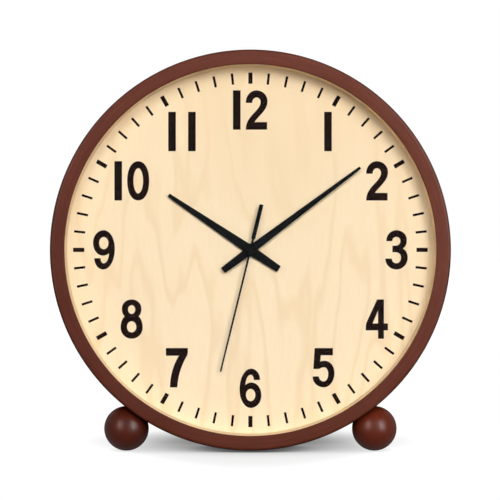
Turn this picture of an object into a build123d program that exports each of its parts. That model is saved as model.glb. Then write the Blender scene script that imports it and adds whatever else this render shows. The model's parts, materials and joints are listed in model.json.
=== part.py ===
from build123d import *
import os
from math import asin, atan2, cos, hypot, radians, sin

# Round wooden desk clock on two ball feet, with a quartz movement.
# The clock leans back: it stands on the two balls and on the rear edge of its case.
# Millimetres, +Z up, the dial faces -Y, and the shelf is at Z = 0.

# ---------------------------------------------------------------- case
case_radius = 100.0
face_width = 7.2  # visible width of the ring round the glass
wall = 4.8  # case wall beside the bore
lip_thickness = 3.0
front_round = 1.6
lip_bevel = 0.4
rear_bevel = 0.8
bore_gap = 0.2  # all round each disc or ring that drops into the bore

# ---------------------------------------------------------------- what stands in the bore
glass_thickness = 2.0
dial_well = 9.0  # from the glass to the dial
spacer_taper = 0.6  # how much the spacer closes in towards the dial
dial_face_thickness = 0.6
dial_board_thickness = 5.0
backing_width = 11.0
backing_depth = 17.4
cover_thickness = 3.0
rear_recess = 2.0

# ---------------------------------------------------------------- cover and its screws
window_gap = 2.0  # round the movement
window_round = 4.0
cover_screw_count = 4
cover_screw_radius = 1.5
cover_screw_length = 10.0  # in the backing ring
cover_screw_head_radius = 3.0
cover_screw_head_height = 1.6
cover_screw_bevel = 0.7
screw_gap = 0.05

# ---------------------------------------------------------------- ball feet
foot_radius = 11.2
foot_angle = 34.8  # from straight down, to each side
foot_depth = 13.0  # ball centre behind the front of the case
foot_seat = 2.15  # how far each ball is hollowed to seat on the case
foot_screw_radius = 1.75
foot_screw_head_radius = 3.3
foot_screw_rim = 0.3
foot_screw_cone = 1.6
foot_screw_sink = 0.4
foot_screw_length = 18.0

# ---------------------------------------------------------------- hands
hour_reach = 49.5
hour_tail = 17.2
hour_widths = (3.5, 4.9, 1.9)  # at the tail, the hub and the tip
minute_reach = 69.0
minute_tail = 17.1
minute_widths = (3.35, 4.25, 1.4)
second_reach = 62.8
second_tail = 23.5
second_neck = 5.7  # from the centre to the counterweight
needle_widths = (0.75, 0.5)  # at the centre and the tip
neck_width = 1.1
weight_width = 2.0
hand_thickness = 0.4
hour_angle = 303.9  # clockwise from twelve
minute_angle = 53.1
second_angle = 193.8
hand_hub_radius = 3.3
second_cap_radius = 1.75
second_cap_height = 1.2
collet_height = 0.8
collet_wall = 0.7
hour_hand_lift = 1.4  # from the dial to the back of the blade
minute_hand_lift = 2.7
second_hand_lift = 4.3

# ---------------------------------------------------------------- movement case
movement_round = 3.0
movement_depth = 16.0
movement_split = 8.0  # where the front case ends and the rear case starts
movement_wall = 1.2
plate_thickness = 1.0

# ---------------------------------------------------------------- centre tubes and bush
second_arbor_radius = 0.5
minute_tube_radius = 1.7
hour_tube_radius = 2.5
bush_radius = 4.0
running_gap = 0.05
press_gap = 0.01
bush_flange_radius = 5.5
bush_flange_thickness = 0.5
nut_across_flats = 11.0
nut_thickness = 2.0
washer_radius = 6.4
washer_thickness = 0.4
nut_clearance = 0.2  # between the nut and the back of the dial face
nut_recess_radius = 7.2
dial_hole_gap = 0.3

# ---------------------------------------------------------------- gear train
centre_distance = 9.0  # from the centre to the minute, third and intermediate arbors
rotor_distance = 7.0  # from the intermediate arbor to the rotor
rotor_bearing = 40.0
wheel_thickness = 0.8
end_play = 0.3
level_pitch = 1.15  # from one wheel to the next one behind it
arbor_radius = 0.4
knob_arbor_radius = 0.6
pivot_depth = 0.8
addendum = 0.75  # in modules
dedendum = 1.15
wheel_tooth = (0.50, 0.24)  # share of the pitch at the root and at the tip
pinion_tooth = (0.40, 0.24)
cannon_teeth = 16
minute_teeth = 48
minute_pinion_teeth = 10
hour_teeth = 40
centre_teeth = 64
third_pinion_teeth = 8
third_teeth = 60
second_pinion_teeth = 8
second_teeth = 50
intermediate_pinion_teeth = 10
intermediate_teeth = 48
rotor_pinion_teeth = 8

# ---------------------------------------------------------------- motor and circuit
magnet_radius = 3.0
magnet_height = 2.8
magnet_hub_radius = 1.0
air_gap = 0.5
stator_thickness = 1.0
stator_arm = 3.0
stator_shoulder = 4.1  # half the width of the bar round the rotor
coil_gap = 0.6  # between the bobbin and the stator round the rotor
strip_gap = 0.4  # between the bobbin and the contact strip beside it
coil_low = -7.9
coil_high = 14.4
core_width = 3.0
bobbin_width = 7.0
bobbin_depth = 4.8
bobbin_flange = 0.8
bobbin_tube_wall = 0.5
winding_margin = 0.4
board_gap = 0.8  # between the board and the wall above it
board_height = 8.0
board_thickness = 1.0
board_stand = 1.8  # from the front wall of the movement
crystal_radius = 1.0
crystal_length = 6.0
chip_radius = 2.5
chip_height = 1.0
chip_bevel = 0.5
post_radius = 1.2
post_places = ((-20.0, 7.0), (7.0, 13.8), (-19.5, -6.0), (6.5, -7.8))

# ---------------------------------------------------------------- battery and setting knob
battery_radius = 7.25
battery_length = 49.2
battery_cap_radius = 2.75
battery_cap_height = 1.0
battery_bevel = 0.5
partition_top = -9.0
contact_room = 1.7  # between each end of the cell and the wall beyond it
contact_thickness = 0.3
contact_width = 6.0
contact_gap = 0.1
knob_radius = 6.0
knob_height = 3.2
knob_stand = 0.4
knob_flutes = 12
knob_flute_radius = 0.9

# ---------------------------------------------------------------- depths behind the front of the case
glass_front = lip_thickness
spacer_front = glass_front + glass_thickness
dial_front = spacer_front + dial_well
board_front = dial_front + dial_face_thickness
movement_front = board_front + dial_board_thickness
cover_front = movement_front + backing_depth
cover_back = cover_front + cover_thickness
case_depth = cover_back + rear_recess

# ---------------------------------------------------------------- radii
lip_radius = case_radius - face_width
bore_radius = case_radius - wall
disc_radius = bore_radius - bore_gap
backing_inner_radius = disc_radius - backing_width
cover_screw_circle = (disc_radius + backing_inner_radius) / 2
foot_distance = case_radius + foot_radius - foot_seat
foot_x = foot_distance * sin(radians(foot_angle))
foot_y = -foot_distance * cos(radians(foot_angle))

# ---------------------------------------------------------------- arbors, seen from the front
third_x, third_y = -centre_distance, 0.0
intermediate_x, intermediate_y = centre_distance, 0.0
minute_x, minute_y = 0.0, centre_distance
rotor_x = intermediate_x + rotor_distance * cos(radians(rotor_bearing))
rotor_y = intermediate_y + rotor_distance * sin(radians(rotor_bearing))

# ---------------------------------------------------------------- movement and the window round it
# The movement is as wide as the wider of what stands in it, the motor or the cell.
coil_x = rotor_x + stator_shoulder + coil_gap + bobbin_width / 2
motor_reach = coil_x + bobbin_width / 2 + strip_gap + contact_thickness
cell_reach = (battery_length + battery_cap_height) / 2 + contact_room
inner_edge = max(motor_reach, cell_reach)
inner_side = 2 * inner_edge
movement_side = inner_side + 2 * movement_wall
window_side = movement_side + 2 * window_gap

# ---------------------------------------------------------------- stance
# Seen from the side, the shelf is the line that touches the ball and the edge of the rear
# bevel from below; it rises towards the back of the case by the angle of lean.
stance_run = case_depth - rear_bevel - foot_depth
stance_rise = foot_y + case_radius
stance_span = hypot(stance_run, stance_rise)
lean = asin(foot_radius / stance_span) - atan2(stance_rise, stance_run)
front_reach = front_round * (cos(lean) - 1) - (case_radius - front_round) * sin(lean)
rear_reach = case_depth * cos(lean) + (case_radius - rear_bevel) * sin(lean)
case_centre = Vector(
    0,
    -(front_reach + rear_reach) / 2,
    foot_radius - foot_y * cos(lean) + foot_depth * sin(lean),
)
face = Plane(origin=case_centre, x_dir=(1, 0, 0), z_dir=(0, -cos(lean), sin(lean)))
clock_axis = Axis(face.origin, -face.z_dir)
# radius across and depth along, for everything turned about the clock's axis
section = Plane(origin=face.origin, x_dir=face.x_dir, z_dir=face.y_dir)

BEHIND = (Align.CENTER, Align.CENTER, Align.MAX)
BEFORE = (Align.CENTER, Align.CENTER, Align.MIN)

os.makedirs("parts", exist_ok=True)


def save(piece, name):
    """Labels one finished piece and writes it to a file of its own."""
    piece.part.label = name
    export_step(piece.part, f"parts/{name}.step")


def at_depth(depth, x=0.0, y=0.0, clockwise=0.0):
    """The plane parallel to the dial at a depth behind the front.

    Its origin is moved across it by x and y, and it is turned clockwise by degrees.
    """
    turn = radians(clockwise)
    return Plane(
        origin=face.origin + face.x_dir * x + face.y_dir * y - face.z_dir * depth,
        x_dir=face.x_dir * cos(turn) - face.y_dir * sin(turn),
        z_dir=face.z_dir,
    )


def in_movement(depth, x=0.0, y=0.0):
    """As at_depth, but the depth is counted from the front of the movement."""
    return at_depth(movement_front + depth, x, y)


# ================================================================ case
def foot_plane(side):
    """The plane across a foot's screw, with its origin on the clock's axis and its normal outwards."""
    outwards = face.x_dir * (side * sin(radians(foot_angle))) - face.y_dir * cos(radians(foot_angle))
    return Plane(origin=at_depth(foot_depth).origin, x_dir=face.z_dir, z_dir=outwards)


def foot_screw_body(side, gap):
    """A countersunk foot screw, or the hole it needs if there is a gap round it."""
    across = foot_plane(side)
    head_top = bore_radius + foot_screw_sink
    cone_start = head_top + foot_screw_rim + gap
    cone_end = cone_start + foot_screw_cone
    screw_end = bore_radius + foot_screw_length + gap
    mouth = head_top - wall * (gap > 0)
    with BuildPart() as screw:
        with BuildSketch(Plane(origin=across.origin, x_dir=across.x_dir, z_dir=-across.y_dir)):
            with BuildLine():
                Polyline(
                    (0, mouth),
                    (foot_screw_head_radius + gap, mouth),
                    (foot_screw_head_radius + gap, cone_start),
                    (foot_screw_radius + gap, cone_end),
                    (foot_screw_radius + gap, screw_end),
                    (0, screw_end),
                    close=True,
                )
            make_face()
        revolve(axis=Axis(across.origin, across.z_dir))
    return screw.part


foot_screw_holes = [foot_screw_body(side, screw_gap) for side in (-1, 1)]

with BuildPart() as case_ring:
    with BuildSketch(section) as ring_section:
        with BuildLine():
            Polyline(
                (lip_radius, 0),
                (case_radius, 0),
                (case_radius, case_depth),
                (bore_radius, case_depth),
                (bore_radius, lip_thickness),
                (lip_radius, lip_thickness),
                close=True,
            )
        make_face()
        front_corner, rear_corner = ring_section.vertices().group_by(Axis.X)[-1].sort_by(Axis.Y)
        lip_corner = ring_section.vertices().group_by(Axis.X)[0].sort_by(Axis.Y)[0]
        fillet(front_corner, front_round)
        chamfer(rear_corner, rear_bevel)
        chamfer(lip_corner, lip_bevel)
    revolve(axis=clock_axis)
    add(foot_screw_holes, mode=Mode.SUBTRACT)
save(case_ring, "case_ring")

with BuildPart() as foot_screws:
    for side in (-1, 1):
        add(foot_screw_body(side, 0.0))
save(foot_screws, "foot_screws")

with BuildPart() as ball_feet:
    with Locations(at_depth(foot_depth, -foot_x, foot_y), at_depth(foot_depth, foot_x, foot_y)):
        Sphere(foot_radius)
    with Locations(face):
        Cylinder(case_radius, case_depth, align=BEHIND, mode=Mode.SUBTRACT)
    add(foot_screw_holes, mode=Mode.SUBTRACT)
save(ball_feet, "ball_feet")

# ================================================================ what stands in the bore
with BuildPart(at_depth(glass_front)) as glass_lens:
    Cylinder(disc_radius, glass_thickness, align=BEHIND)
save(glass_lens, "glass_lens")

with BuildPart() as spacer_ring:
    with BuildSketch(section):
        with BuildLine():
            Polyline(
                (lip_radius, spacer_front),
                (disc_radius, spacer_front),
                (disc_radius, dial_front),
                (lip_radius - spacer_taper, dial_front),
                close=True,
            )
        make_face()
    revolve(axis=clock_axis)
save(spacer_ring, "spacer_ring")

with BuildPart(at_depth(dial_front)) as dial_face:
    Cylinder(disc_radius, dial_face_thickness, align=BEHIND)
    Hole(hour_tube_radius + dial_hole_gap)
save(dial_face, "dial_face")

nut_back = board_front + nut_clearance + nut_thickness
nut_recess_depth = nut_back + washer_thickness - board_front
with BuildPart(at_depth(board_front)) as dial_board:
    Cylinder(disc_radius, dial_board_thickness, align=BEHIND)
    CounterBoreHole(bush_radius + running_gap, nut_recess_radius, nut_recess_depth)
save(dial_board, "dial_board")

# The backing ring is glued into the case, clamps the dial and takes the cover's screws.
with BuildPart() as backing_ring:
    with BuildSketch(at_depth(cover_front)):
        Circle(disc_radius)
        Circle(backing_inner_radius, mode=Mode.SUBTRACT)
    extrude(amount=backing_depth)
    with Locations(at_depth(cover_front)):
        with PolarLocations(cover_screw_circle, cover_screw_count, start_angle=45):
            Cylinder(
                cover_screw_radius + screw_gap,
                cover_screw_length + screw_gap,
                align=BEFORE,
                mode=Mode.SUBTRACT,
            )
save(backing_ring, "backing_ring")

with BuildPart() as back_cover:
    with BuildSketch(at_depth(cover_back)):
        Circle(disc_radius)
        RectangleRounded(window_side, window_side, window_round, mode=Mode.SUBTRACT)
        with PolarLocations(cover_screw_circle, cover_screw_count, start_angle=45):
            Circle(cover_screw_radius + screw_gap, mode=Mode.SUBTRACT)
    extrude(amount=cover_thickness)
save(back_cover, "back_cover")

with BuildPart(at_depth(cover_back)) as cover_screws:
    with PolarLocations(cover_screw_circle, cover_screw_count, start_angle=45):
        Cylinder(cover_screw_head_radius, cover_screw_head_height, align=BEHIND)
        Cylinder(cover_screw_radius, cover_thickness + cover_screw_length, align=BEFORE)
    head_rims = cover_screws.edges().filter_by(GeomType.CIRCLE).group_by(clock_axis)[-1]
    chamfer(head_rims, cover_screw_bevel)
save(cover_screws, "cover_screws")


# ================================================================ toothed wheels
def mesh_phase(phase, teeth, mate_teeth, bearing):
    """Angle of a tooth of the mate that puts it in mesh.

    The first gear has a tooth at the angle phase, and bearing is the direction from it to its
    mate, all counter-clockwise in degrees from +X.
    """
    return bearing + 180 - (phase - bearing) * teeth / mate_teeth + 180 / mate_teeth


def toothed_disc(plane, teeth, module, phase, tooth, thickness):
    """A toothed disc whose back lies on the plane."""
    root_share, tip_share = tooth
    pitch_radius = teeth * module / 2
    root_radius = pitch_radius - dedendum * module
    tip_radius = pitch_radius + addendum * module
    half_root = radians(180 / teeth * root_share)
    half_tip = radians(180 / teeth * tip_share)
    corners = (
        (root_radius, -half_root),
        (tip_radius, -half_tip),
        (tip_radius, half_tip),
        (root_radius, half_root),
    )
    outline = []
    for number in range(teeth):
        middle = radians(phase + 360 * number / teeth)
        outline += [(r * cos(middle + turn), r * sin(middle + turn)) for r, turn in corners]
    with BuildPart() as disc:
        with BuildSketch(plane):
            Polygon(*outline, align=None)
        extrude(amount=thickness)
    return disc.part


def rod(plane, radius, length):
    """A round rod that runs backwards from the plane."""
    with BuildPart(plane) as round_bar:
        Cylinder(radius, length, align=BEHIND)
    return round_bar.part


def level(number):
    """Depth in the movement of the front of the wheels on a level, from the dial backwards."""
    return movement_wall + end_play + number * level_pitch


def wheel(number, x, y, teeth, module, phase):
    """A wheel on its level."""
    plane = in_movement(level(number) + wheel_thickness, x, y)
    return toothed_disc(plane, teeth, module, phase, wheel_tooth, wheel_thickness)


def pinion(number, x, y, teeth, module, phase):
    """A pinion that meshes with the wheel of its level and is one piece with the wheel behind it."""
    plane = in_movement(level(number + 1), x, y)
    return toothed_disc(plane, teeth, module, phase, pinion_tooth, level_pitch + end_play / 3)


cannon_module = 2 * centre_distance / (cannon_teeth + minute_teeth)
hour_module = 2 * centre_distance / (minute_pinion_teeth + hour_teeth)
centre_module = 2 * centre_distance / (centre_teeth + third_pinion_teeth)
third_module = 2 * centre_distance / (third_teeth + second_pinion_teeth)
second_module = 2 * centre_distance / (second_teeth + intermediate_pinion_teeth)
intermediate_module = 2 * rotor_distance / (intermediate_teeth + rotor_pinion_teeth)

hour_blade_back = dial_front - hour_hand_lift
minute_blade_back = dial_front - minute_hand_lift
second_blade_back = dial_front - second_hand_lift
hour_blade_front = hour_blade_back - hand_thickness
minute_blade_front = minute_blade_back - hand_thickness
second_blade_front = second_blade_back - hand_thickness
plate_front = level(6)
plate_back = plate_front + plate_thickness
pivot_end = plate_front + pivot_depth
front_pivot = movement_wall - pivot_depth

with BuildPart() as hour_wheel:
    add(wheel(0, 0, 0, hour_teeth, hour_module,
              mesh_phase(0, minute_pinion_teeth, hour_teeth, 270)))
    hour_tube_length = movement_front + level(0) + wheel_thickness - hour_blade_front
    add(rod(at_depth(hour_blade_front), hour_tube_radius, hour_tube_length))
    with Locations(at_depth(hour_blade_front)):
        Cylinder(
            minute_tube_radius + running_gap,
            hour_tube_length,
            align=BEHIND,
            mode=Mode.SUBTRACT,
        )
save(hour_wheel, "hour_wheel")

with BuildPart() as centre_wheel:
    add(wheel(2, 0, 0, centre_teeth, centre_module, 0))
    add(pinion(1, 0, 0, cannon_teeth, cannon_module, 0))
    minute_tube_length = movement_front + level(2) + wheel_thickness - minute_blade_front
    add(rod(at_depth(minute_blade_front), minute_tube_radius, minute_tube_length))
    with Locations(at_depth(minute_blade_front)):
        Cylinder(
            second_arbor_radius + running_gap,
            minute_tube_length,
            align=BEHIND,
            mode=Mode.SUBTRACT,
        )
save(centre_wheel, "centre_wheel")

knob_front = movement_depth + knob_stand
with BuildPart() as minute_wheel:
    add(wheel(1, minute_x, minute_y, minute_teeth, cannon_module,
              mesh_phase(0, cannon_teeth, minute_teeth, 90)))
    add(pinion(0, minute_x, minute_y, minute_pinion_teeth, hour_module, 0))
    knob_arbor_length = knob_front + knob_height / 2 - front_pivot
    add(rod(in_movement(front_pivot, minute_x, minute_y), knob_arbor_radius, knob_arbor_length))
save(minute_wheel, "minute_wheel")

with BuildPart() as third_wheel:
    add(wheel(3, third_x, third_y, third_teeth, third_module, 0))
    add(pinion(2, third_x, third_y, third_pinion_teeth, centre_module,
               mesh_phase(0, centre_teeth, third_pinion_teeth, 180)))
    add(rod(in_movement(front_pivot, third_x, third_y), arbor_radius, pivot_end - front_pivot))
save(third_wheel, "third_wheel")

with BuildPart() as second_wheel:
    add(wheel(4, 0, 0, second_teeth, second_module, 0))
    add(pinion(3, 0, 0, second_pinion_teeth, third_module,
               mesh_phase(0, third_teeth, second_pinion_teeth, 0)))
    second_arbor_length = movement_front + pivot_end - second_blade_front
    add(rod(at_depth(second_blade_front), second_arbor_radius, second_arbor_length))
save(second_wheel, "second_wheel")

with BuildPart() as intermediate_wheel:
    add(wheel(5, intermediate_x, intermediate_y, intermediate_teeth, intermediate_module, 0))
    add(pinion(4, intermediate_x, intermediate_y, intermediate_pinion_teeth, second_module,
               mesh_phase(0, second_teeth, intermediate_pinion_teeth, 0)))
    add(rod(in_movement(front_pivot, intermediate_x, intermediate_y), arbor_radius,
            pivot_end - front_pivot))
save(intermediate_wheel, "intermediate_wheel")

magnet_front = level(2)
with BuildPart() as rotor_pinion:
    rotor_phase = mesh_phase(0, intermediate_teeth, rotor_pinion_teeth, rotor_bearing)
    add(pinion(5, rotor_x, rotor_y, rotor_pinion_teeth, intermediate_module, rotor_phase))
    add(rod(in_movement(magnet_front, rotor_x, rotor_y), magnet_hub_radius,
            magnet_height + end_play))
    add(rod(in_movement(front_pivot, rotor_x, rotor_y), arbor_radius, pivot_end - front_pivot))
save(rotor_pinion, "rotor_pinion")

with BuildPart(in_movement(magnet_front, rotor_x, rotor_y)) as rotor_magnet:
    Cylinder(magnet_radius, magnet_height, align=BEHIND)
    Cylinder(magnet_hub_radius + press_gap, magnet_height, align=BEHIND, mode=Mode.SUBTRACT)
save(rotor_magnet, "rotor_magnet")


# ================================================================ hands
def hand(back_depth, angle, outline, tube_radius):
    """A flat hand pressed on its tube, with a hub disc and a collet behind the blade."""
    plane = at_depth(back_depth, clockwise=angle)
    with BuildPart() as blade:
        with BuildSketch(plane):
            Polygon(*outline, align=None)
            Circle(hand_hub_radius)
        extrude(amount=hand_thickness)
        with Locations(plane):
            Cylinder(tube_radius + collet_wall, collet_height, align=BEHIND)
            Hole(tube_radius + press_gap)
    return blade.part


def bar_outline(reach, tail, widths):
    """A bar that is widest at the hub and narrows to its tip and its tail."""
    at_tail, at_hub, at_tip = (width / 2 for width in widths)
    return [
        (-at_tail, -tail),
        (at_tail, -tail),
        (at_hub, 0),
        (at_tip, reach),
        (-at_tip, reach),
        (-at_hub, 0),
    ]


hour_outline = bar_outline(hour_reach, hour_tail, hour_widths)
with BuildPart() as hour_hand:
    add(hand(hour_blade_back, hour_angle, hour_outline, hour_tube_radius))
save(hour_hand, "hour_hand")

minute_outline = bar_outline(minute_reach, minute_tail, minute_widths)
with BuildPart() as minute_hand:
    add(hand(minute_blade_back, minute_angle, minute_outline, minute_tube_radius))
save(minute_hand, "minute_hand")

weight, neck = weight_width / 2, neck_width / 2
needle, needle_tip = (width / 2 for width in needle_widths)
second_plane = at_depth(second_blade_back, clockwise=second_angle)
with BuildPart() as second_hand:
    with BuildSketch(second_plane):
        Polygon(
            (-weight, -second_tail),
            (weight, -second_tail),
            (weight, -second_neck),
            (neck, -second_neck),
            (neck, 0),
            (needle, 0),
            (needle_tip, second_reach),
            (-needle_tip, second_reach),
            (-needle, 0),
            (-neck, 0),
            (-neck, -second_neck),
            (-weight, -second_neck),
            align=None,
        )
    extrude(amount=hand_thickness)
    with Locations(second_plane):
        Cylinder(second_cap_radius, second_cap_height)
    with Locations(at_depth(second_blade_front)):
        Cylinder(
            second_arbor_radius + press_gap,
            second_cap_height,
            align=BEHIND,
            mode=Mode.SUBTRACT,
        )
save(second_hand, "second_hand")

# ================================================================ bush and its nut
bush_front = board_front + nut_clearance / 2
with BuildPart() as threaded_bush:
    with Locations(in_movement(movement_wall)):
        Cylinder(bush_radius, movement_front + movement_wall - bush_front, align=BEFORE)
        Cylinder(bush_flange_radius, bush_flange_thickness, align=BEFORE)
        Hole(hour_tube_radius + running_gap)
save(threaded_bush, "threaded_bush")

with BuildPart() as bush_nut:
    with BuildSketch(at_depth(nut_back)):
        RegularPolygon(nut_across_flats / 2, 6, major_radius=False)
        Circle(bush_radius + press_gap, mode=Mode.SUBTRACT)
    extrude(amount=nut_thickness)
save(bush_nut, "bush_nut")

with BuildPart(at_depth(nut_back)) as bush_washer:
    Cylinder(washer_radius, washer_thickness, align=BEHIND)
    Hole(bush_radius + running_gap)
save(bush_washer, "bush_washer")

# ================================================================ movement case
inner_round = movement_round - movement_wall
partition_bottom = partition_top - movement_wall
battery_y = (partition_bottom - inner_edge) / 2
arbor_places = (
    (third_x, third_y),
    (intermediate_x, intermediate_y),
    (rotor_x, rotor_y),
)


def case_tray(front_depth, back_depth, wall_front, wall_back):
    """The walls of one half of the movement's case, with its flat wall and the battery partition."""
    with BuildPart() as tray:
        with BuildSketch(in_movement(back_depth)):
            RectangleRounded(movement_side, movement_side, movement_round)
        extrude(amount=back_depth - front_depth)
        with BuildSketch(in_movement(wall_back)):
            RectangleRounded(inner_side, inner_side, inner_round)
            with Locations((0, (partition_top + partition_bottom) / 2)):
                Rectangle(
                    inner_side - 4 * contact_thickness,
                    movement_wall,
                    mode=Mode.SUBTRACT,
                )
        extrude(amount=wall_back - wall_front, mode=Mode.SUBTRACT)
    return tray.part


with BuildPart() as front_case:
    add(case_tray(0, movement_split, movement_wall, movement_split))
    with Locations(*[in_movement(plate_front, x, y) for x, y in post_places]):
        Cylinder(post_radius, plate_front - movement_wall, align=BEFORE)
    with Locations(in_movement(0)):
        Cylinder(bush_radius + press_gap, movement_wall, align=BEHIND, mode=Mode.SUBTRACT)
    with Locations(in_movement(movement_wall)):
        Cylinder(
            bush_flange_radius + press_gap,
            bush_flange_thickness,
            align=BEFORE,
            mode=Mode.SUBTRACT,
        )
    with Locations(*[in_movement(movement_wall, x, y) for x, y in arbor_places]):
        Cylinder(
            arbor_radius + running_gap,
            pivot_depth + end_play / 3,
            align=BEFORE,
            mode=Mode.SUBTRACT,
        )
    with Locations(in_movement(movement_wall, minute_x, minute_y)):
        Cylinder(
            knob_arbor_radius + running_gap,
            pivot_depth + end_play / 3,
            align=BEFORE,
            mode=Mode.SUBTRACT,
        )
save(front_case, "front_case")


with BuildPart() as rear_case:
    add(case_tray(movement_split, movement_depth, movement_split, movement_depth - movement_wall))
    bay_height = partition_bottom + inner_edge
    with BuildSketch(in_movement(movement_depth)):
        with Locations((0, (partition_bottom - inner_edge) / 2)):
            Rectangle(inner_side, bay_height)
    extrude(amount=movement_wall, mode=Mode.SUBTRACT)
    with Locations(in_movement(movement_depth, minute_x, minute_y)):
        Cylinder(
            knob_arbor_radius + running_gap,
            movement_wall,
            align=BEFORE,
            mode=Mode.SUBTRACT,
        )
save(rear_case, "rear_case")

plate_left = min(x for x, y in post_places) - post_radius
plate_right = coil_x - bobbin_width / 2 - contact_gap
plate_low = min(y for x, y in post_places) - post_radius / 2
plate_high = max(y for x, y in post_places) + post_radius
with BuildPart() as gear_plate:
    with BuildSketch(in_movement(plate_back)):
        with Locations(((plate_left + plate_right) / 2, (plate_low + plate_high) / 2)):
            RectangleRounded(plate_right - plate_left, plate_high - plate_low, post_radius)
    extrude(amount=plate_thickness)
    with Locations(*[in_movement(plate_front, x, y) for x, y in arbor_places]):
        Cylinder(
            arbor_radius + running_gap,
            pivot_depth + end_play / 3,
            align=BEHIND,
            mode=Mode.SUBTRACT,
        )
    with Locations(in_movement(plate_front)):
        Cylinder(
            second_arbor_radius + running_gap,
            pivot_depth + end_play / 3,
            align=BEHIND,
            mode=Mode.SUBTRACT,
        )
    with Locations(in_movement(plate_front, minute_x, minute_y)):
        Cylinder(
            knob_arbor_radius + running_gap,
            plate_thickness,
            align=BEHIND,
            mode=Mode.SUBTRACT,
        )
save(gear_plate, "gear_plate")

# ================================================================ motor
stator_front = magnet_front + (magnet_height - stator_thickness) / 2
stator_back = stator_front + stator_thickness
stator_left = rotor_x - stator_shoulder
stator_right = coil_x + core_width / 2
with BuildPart() as stator:
    with BuildSketch(in_movement(stator_back)):
        with Locations(((stator_left + stator_right) / 2, (coil_low + coil_high) / 2)):
            Rectangle(stator_right - stator_left, coil_high - coil_low)
        window_left = rotor_x + stator_shoulder
        with Locations(((window_left + stator_right) / 2, (coil_low + coil_high) / 2)):
            Rectangle(
                stator_right - window_left,
                coil_high - coil_low - 2 * stator_arm,
                mode=Mode.SUBTRACT,
            )
        with Locations((rotor_x, rotor_y)):
            Circle(magnet_radius + air_gap, mode=Mode.SUBTRACT)
    extrude(amount=stator_thickness)
save(stator, "stator")

core_back = stator_back + stator_thickness
with BuildPart() as coil_core:
    with BuildSketch(in_movement(core_back)):
        with Locations((coil_x, (coil_low + coil_high) / 2)):
            Rectangle(core_width, coil_high - coil_low)
    extrude(amount=stator_thickness)
save(coil_core, "coil_core")

coil_y = (coil_low + coil_high) / 2
bobbin_length = coil_high - coil_low - 2 * stator_arm
coil_middle = core_back - stator_thickness / 2


def coil_plane(y):
    """The plane across the coil at a height y, its normal pointing up the dial."""
    across = in_movement(coil_middle, coil_x, y)
    return Plane(origin=across.origin, x_dir=across.x_dir, z_dir=across.y_dir)


bobbin_low = coil_y - bobbin_length / 2
with BuildPart() as coil_bobbin:
    with BuildSketch(coil_plane(bobbin_low)):
        Rectangle(bobbin_width, bobbin_depth)
    extrude(amount=bobbin_length)
    tube_width = core_width + 2 * bobbin_tube_wall
    tube_depth = stator_thickness + 2 * bobbin_tube_wall
    with BuildSketch(coil_plane(bobbin_low + bobbin_flange)):
        Rectangle(bobbin_width, bobbin_depth)
        Rectangle(tube_width, tube_depth, mode=Mode.SUBTRACT)
    extrude(amount=bobbin_length - 2 * bobbin_flange, mode=Mode.SUBTRACT)
    with BuildSketch(coil_plane(bobbin_low)):
        Rectangle(core_width + press_gap, stator_thickness + press_gap)
    extrude(amount=bobbin_length, mode=Mode.SUBTRACT)
save(coil_bobbin, "coil_bobbin")

with BuildPart() as coil_winding:
    with BuildSketch(coil_plane(bobbin_low + bobbin_flange)):
        winding_width = bobbin_width - 2 * winding_margin
        winding_depth = bobbin_depth - 2 * winding_margin
        RectangleRounded(winding_width, winding_depth, winding_depth / 3)
        Rectangle(tube_width, tube_depth, mode=Mode.SUBTRACT)
    extrude(amount=bobbin_length - 2 * bobbin_flange)
save(coil_winding, "coil_winding")

# ================================================================ circuit
board_face = movement_wall + board_stand
board_width = inner_side - 2 * (contact_thickness + contact_gap)
board_middle = inner_edge - board_gap - board_height / 2
with BuildPart() as circuit_board:
    with BuildSketch(in_movement(board_face + board_thickness)):
        with Locations((0, board_middle)):
            Rectangle(board_width, board_height)
    extrude(amount=board_thickness)
save(circuit_board, "circuit_board")

board_back = board_face + board_thickness
with BuildPart() as quartz_crystal:
    with Locations(in_movement(board_back + crystal_radius, -board_width / 6, board_middle)):
        Cylinder(crystal_radius, crystal_length, rotation=(0, 90, 0))
save(quartz_crystal, "quartz_crystal")

with BuildPart(in_movement(board_back, board_width / 12, board_middle)) as clock_chip:
    Cylinder(chip_radius, chip_height, align=BEHIND)
    chip_rim = clock_chip.edges().filter_by(GeomType.CIRCLE).sort_by(clock_axis)[-1]
    chamfer(chip_rim, chip_bevel)
save(clock_chip, "clock_chip")

# ================================================================ battery and its contacts
battery_depth = movement_wall + contact_gap + battery_radius
battery_low = -battery_length / 2 - battery_cap_height / 2
battery_axis_plane = Plane(
    origin=in_movement(battery_depth, battery_low, battery_y).origin,
    x_dir=face.y_dir,
    z_dir=face.x_dir,
)
with BuildPart(battery_axis_plane) as battery:
    Cylinder(battery_radius, battery_length, align=BEFORE)
    chamfer(battery.edges().filter_by(GeomType.CIRCLE), battery_bevel)
    with Locations((0, 0, battery_length)):
        Cylinder(battery_cap_radius, battery_cap_height, align=BEFORE)
save(battery, "battery")


def contact(side, tip):
    """A contact strip up one side wall, from the cell's end to the circuit board.

    side is -1 for the flat end of the cell and 1 for its cap, and tip is where the strip's
    leaf ends across the clock.
    """
    wall_x = side * inner_edge
    strip_x = wall_x - side * contact_thickness
    with BuildPart() as strip:
        with BuildSketch(in_movement(battery_depth + contact_width / 2)):
            with BuildLine():
                Polyline(
                    (wall_x, battery_y - contact_width / 2),
                    (wall_x, board_middle),
                    (strip_x, board_middle),
                    (strip_x, battery_y + contact_width / 2),
                    (tip, battery_y + contact_width / 6),
                    (tip, battery_y - contact_width / 6),
                    (strip_x, battery_y - contact_width / 2),
                    close=True,
                )
            make_face()
        extrude(amount=contact_width)
    return strip.part


with BuildPart() as negative_contact:
    add(contact(-1, battery_low - contact_gap))
save(negative_contact, "negative_contact")

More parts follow.
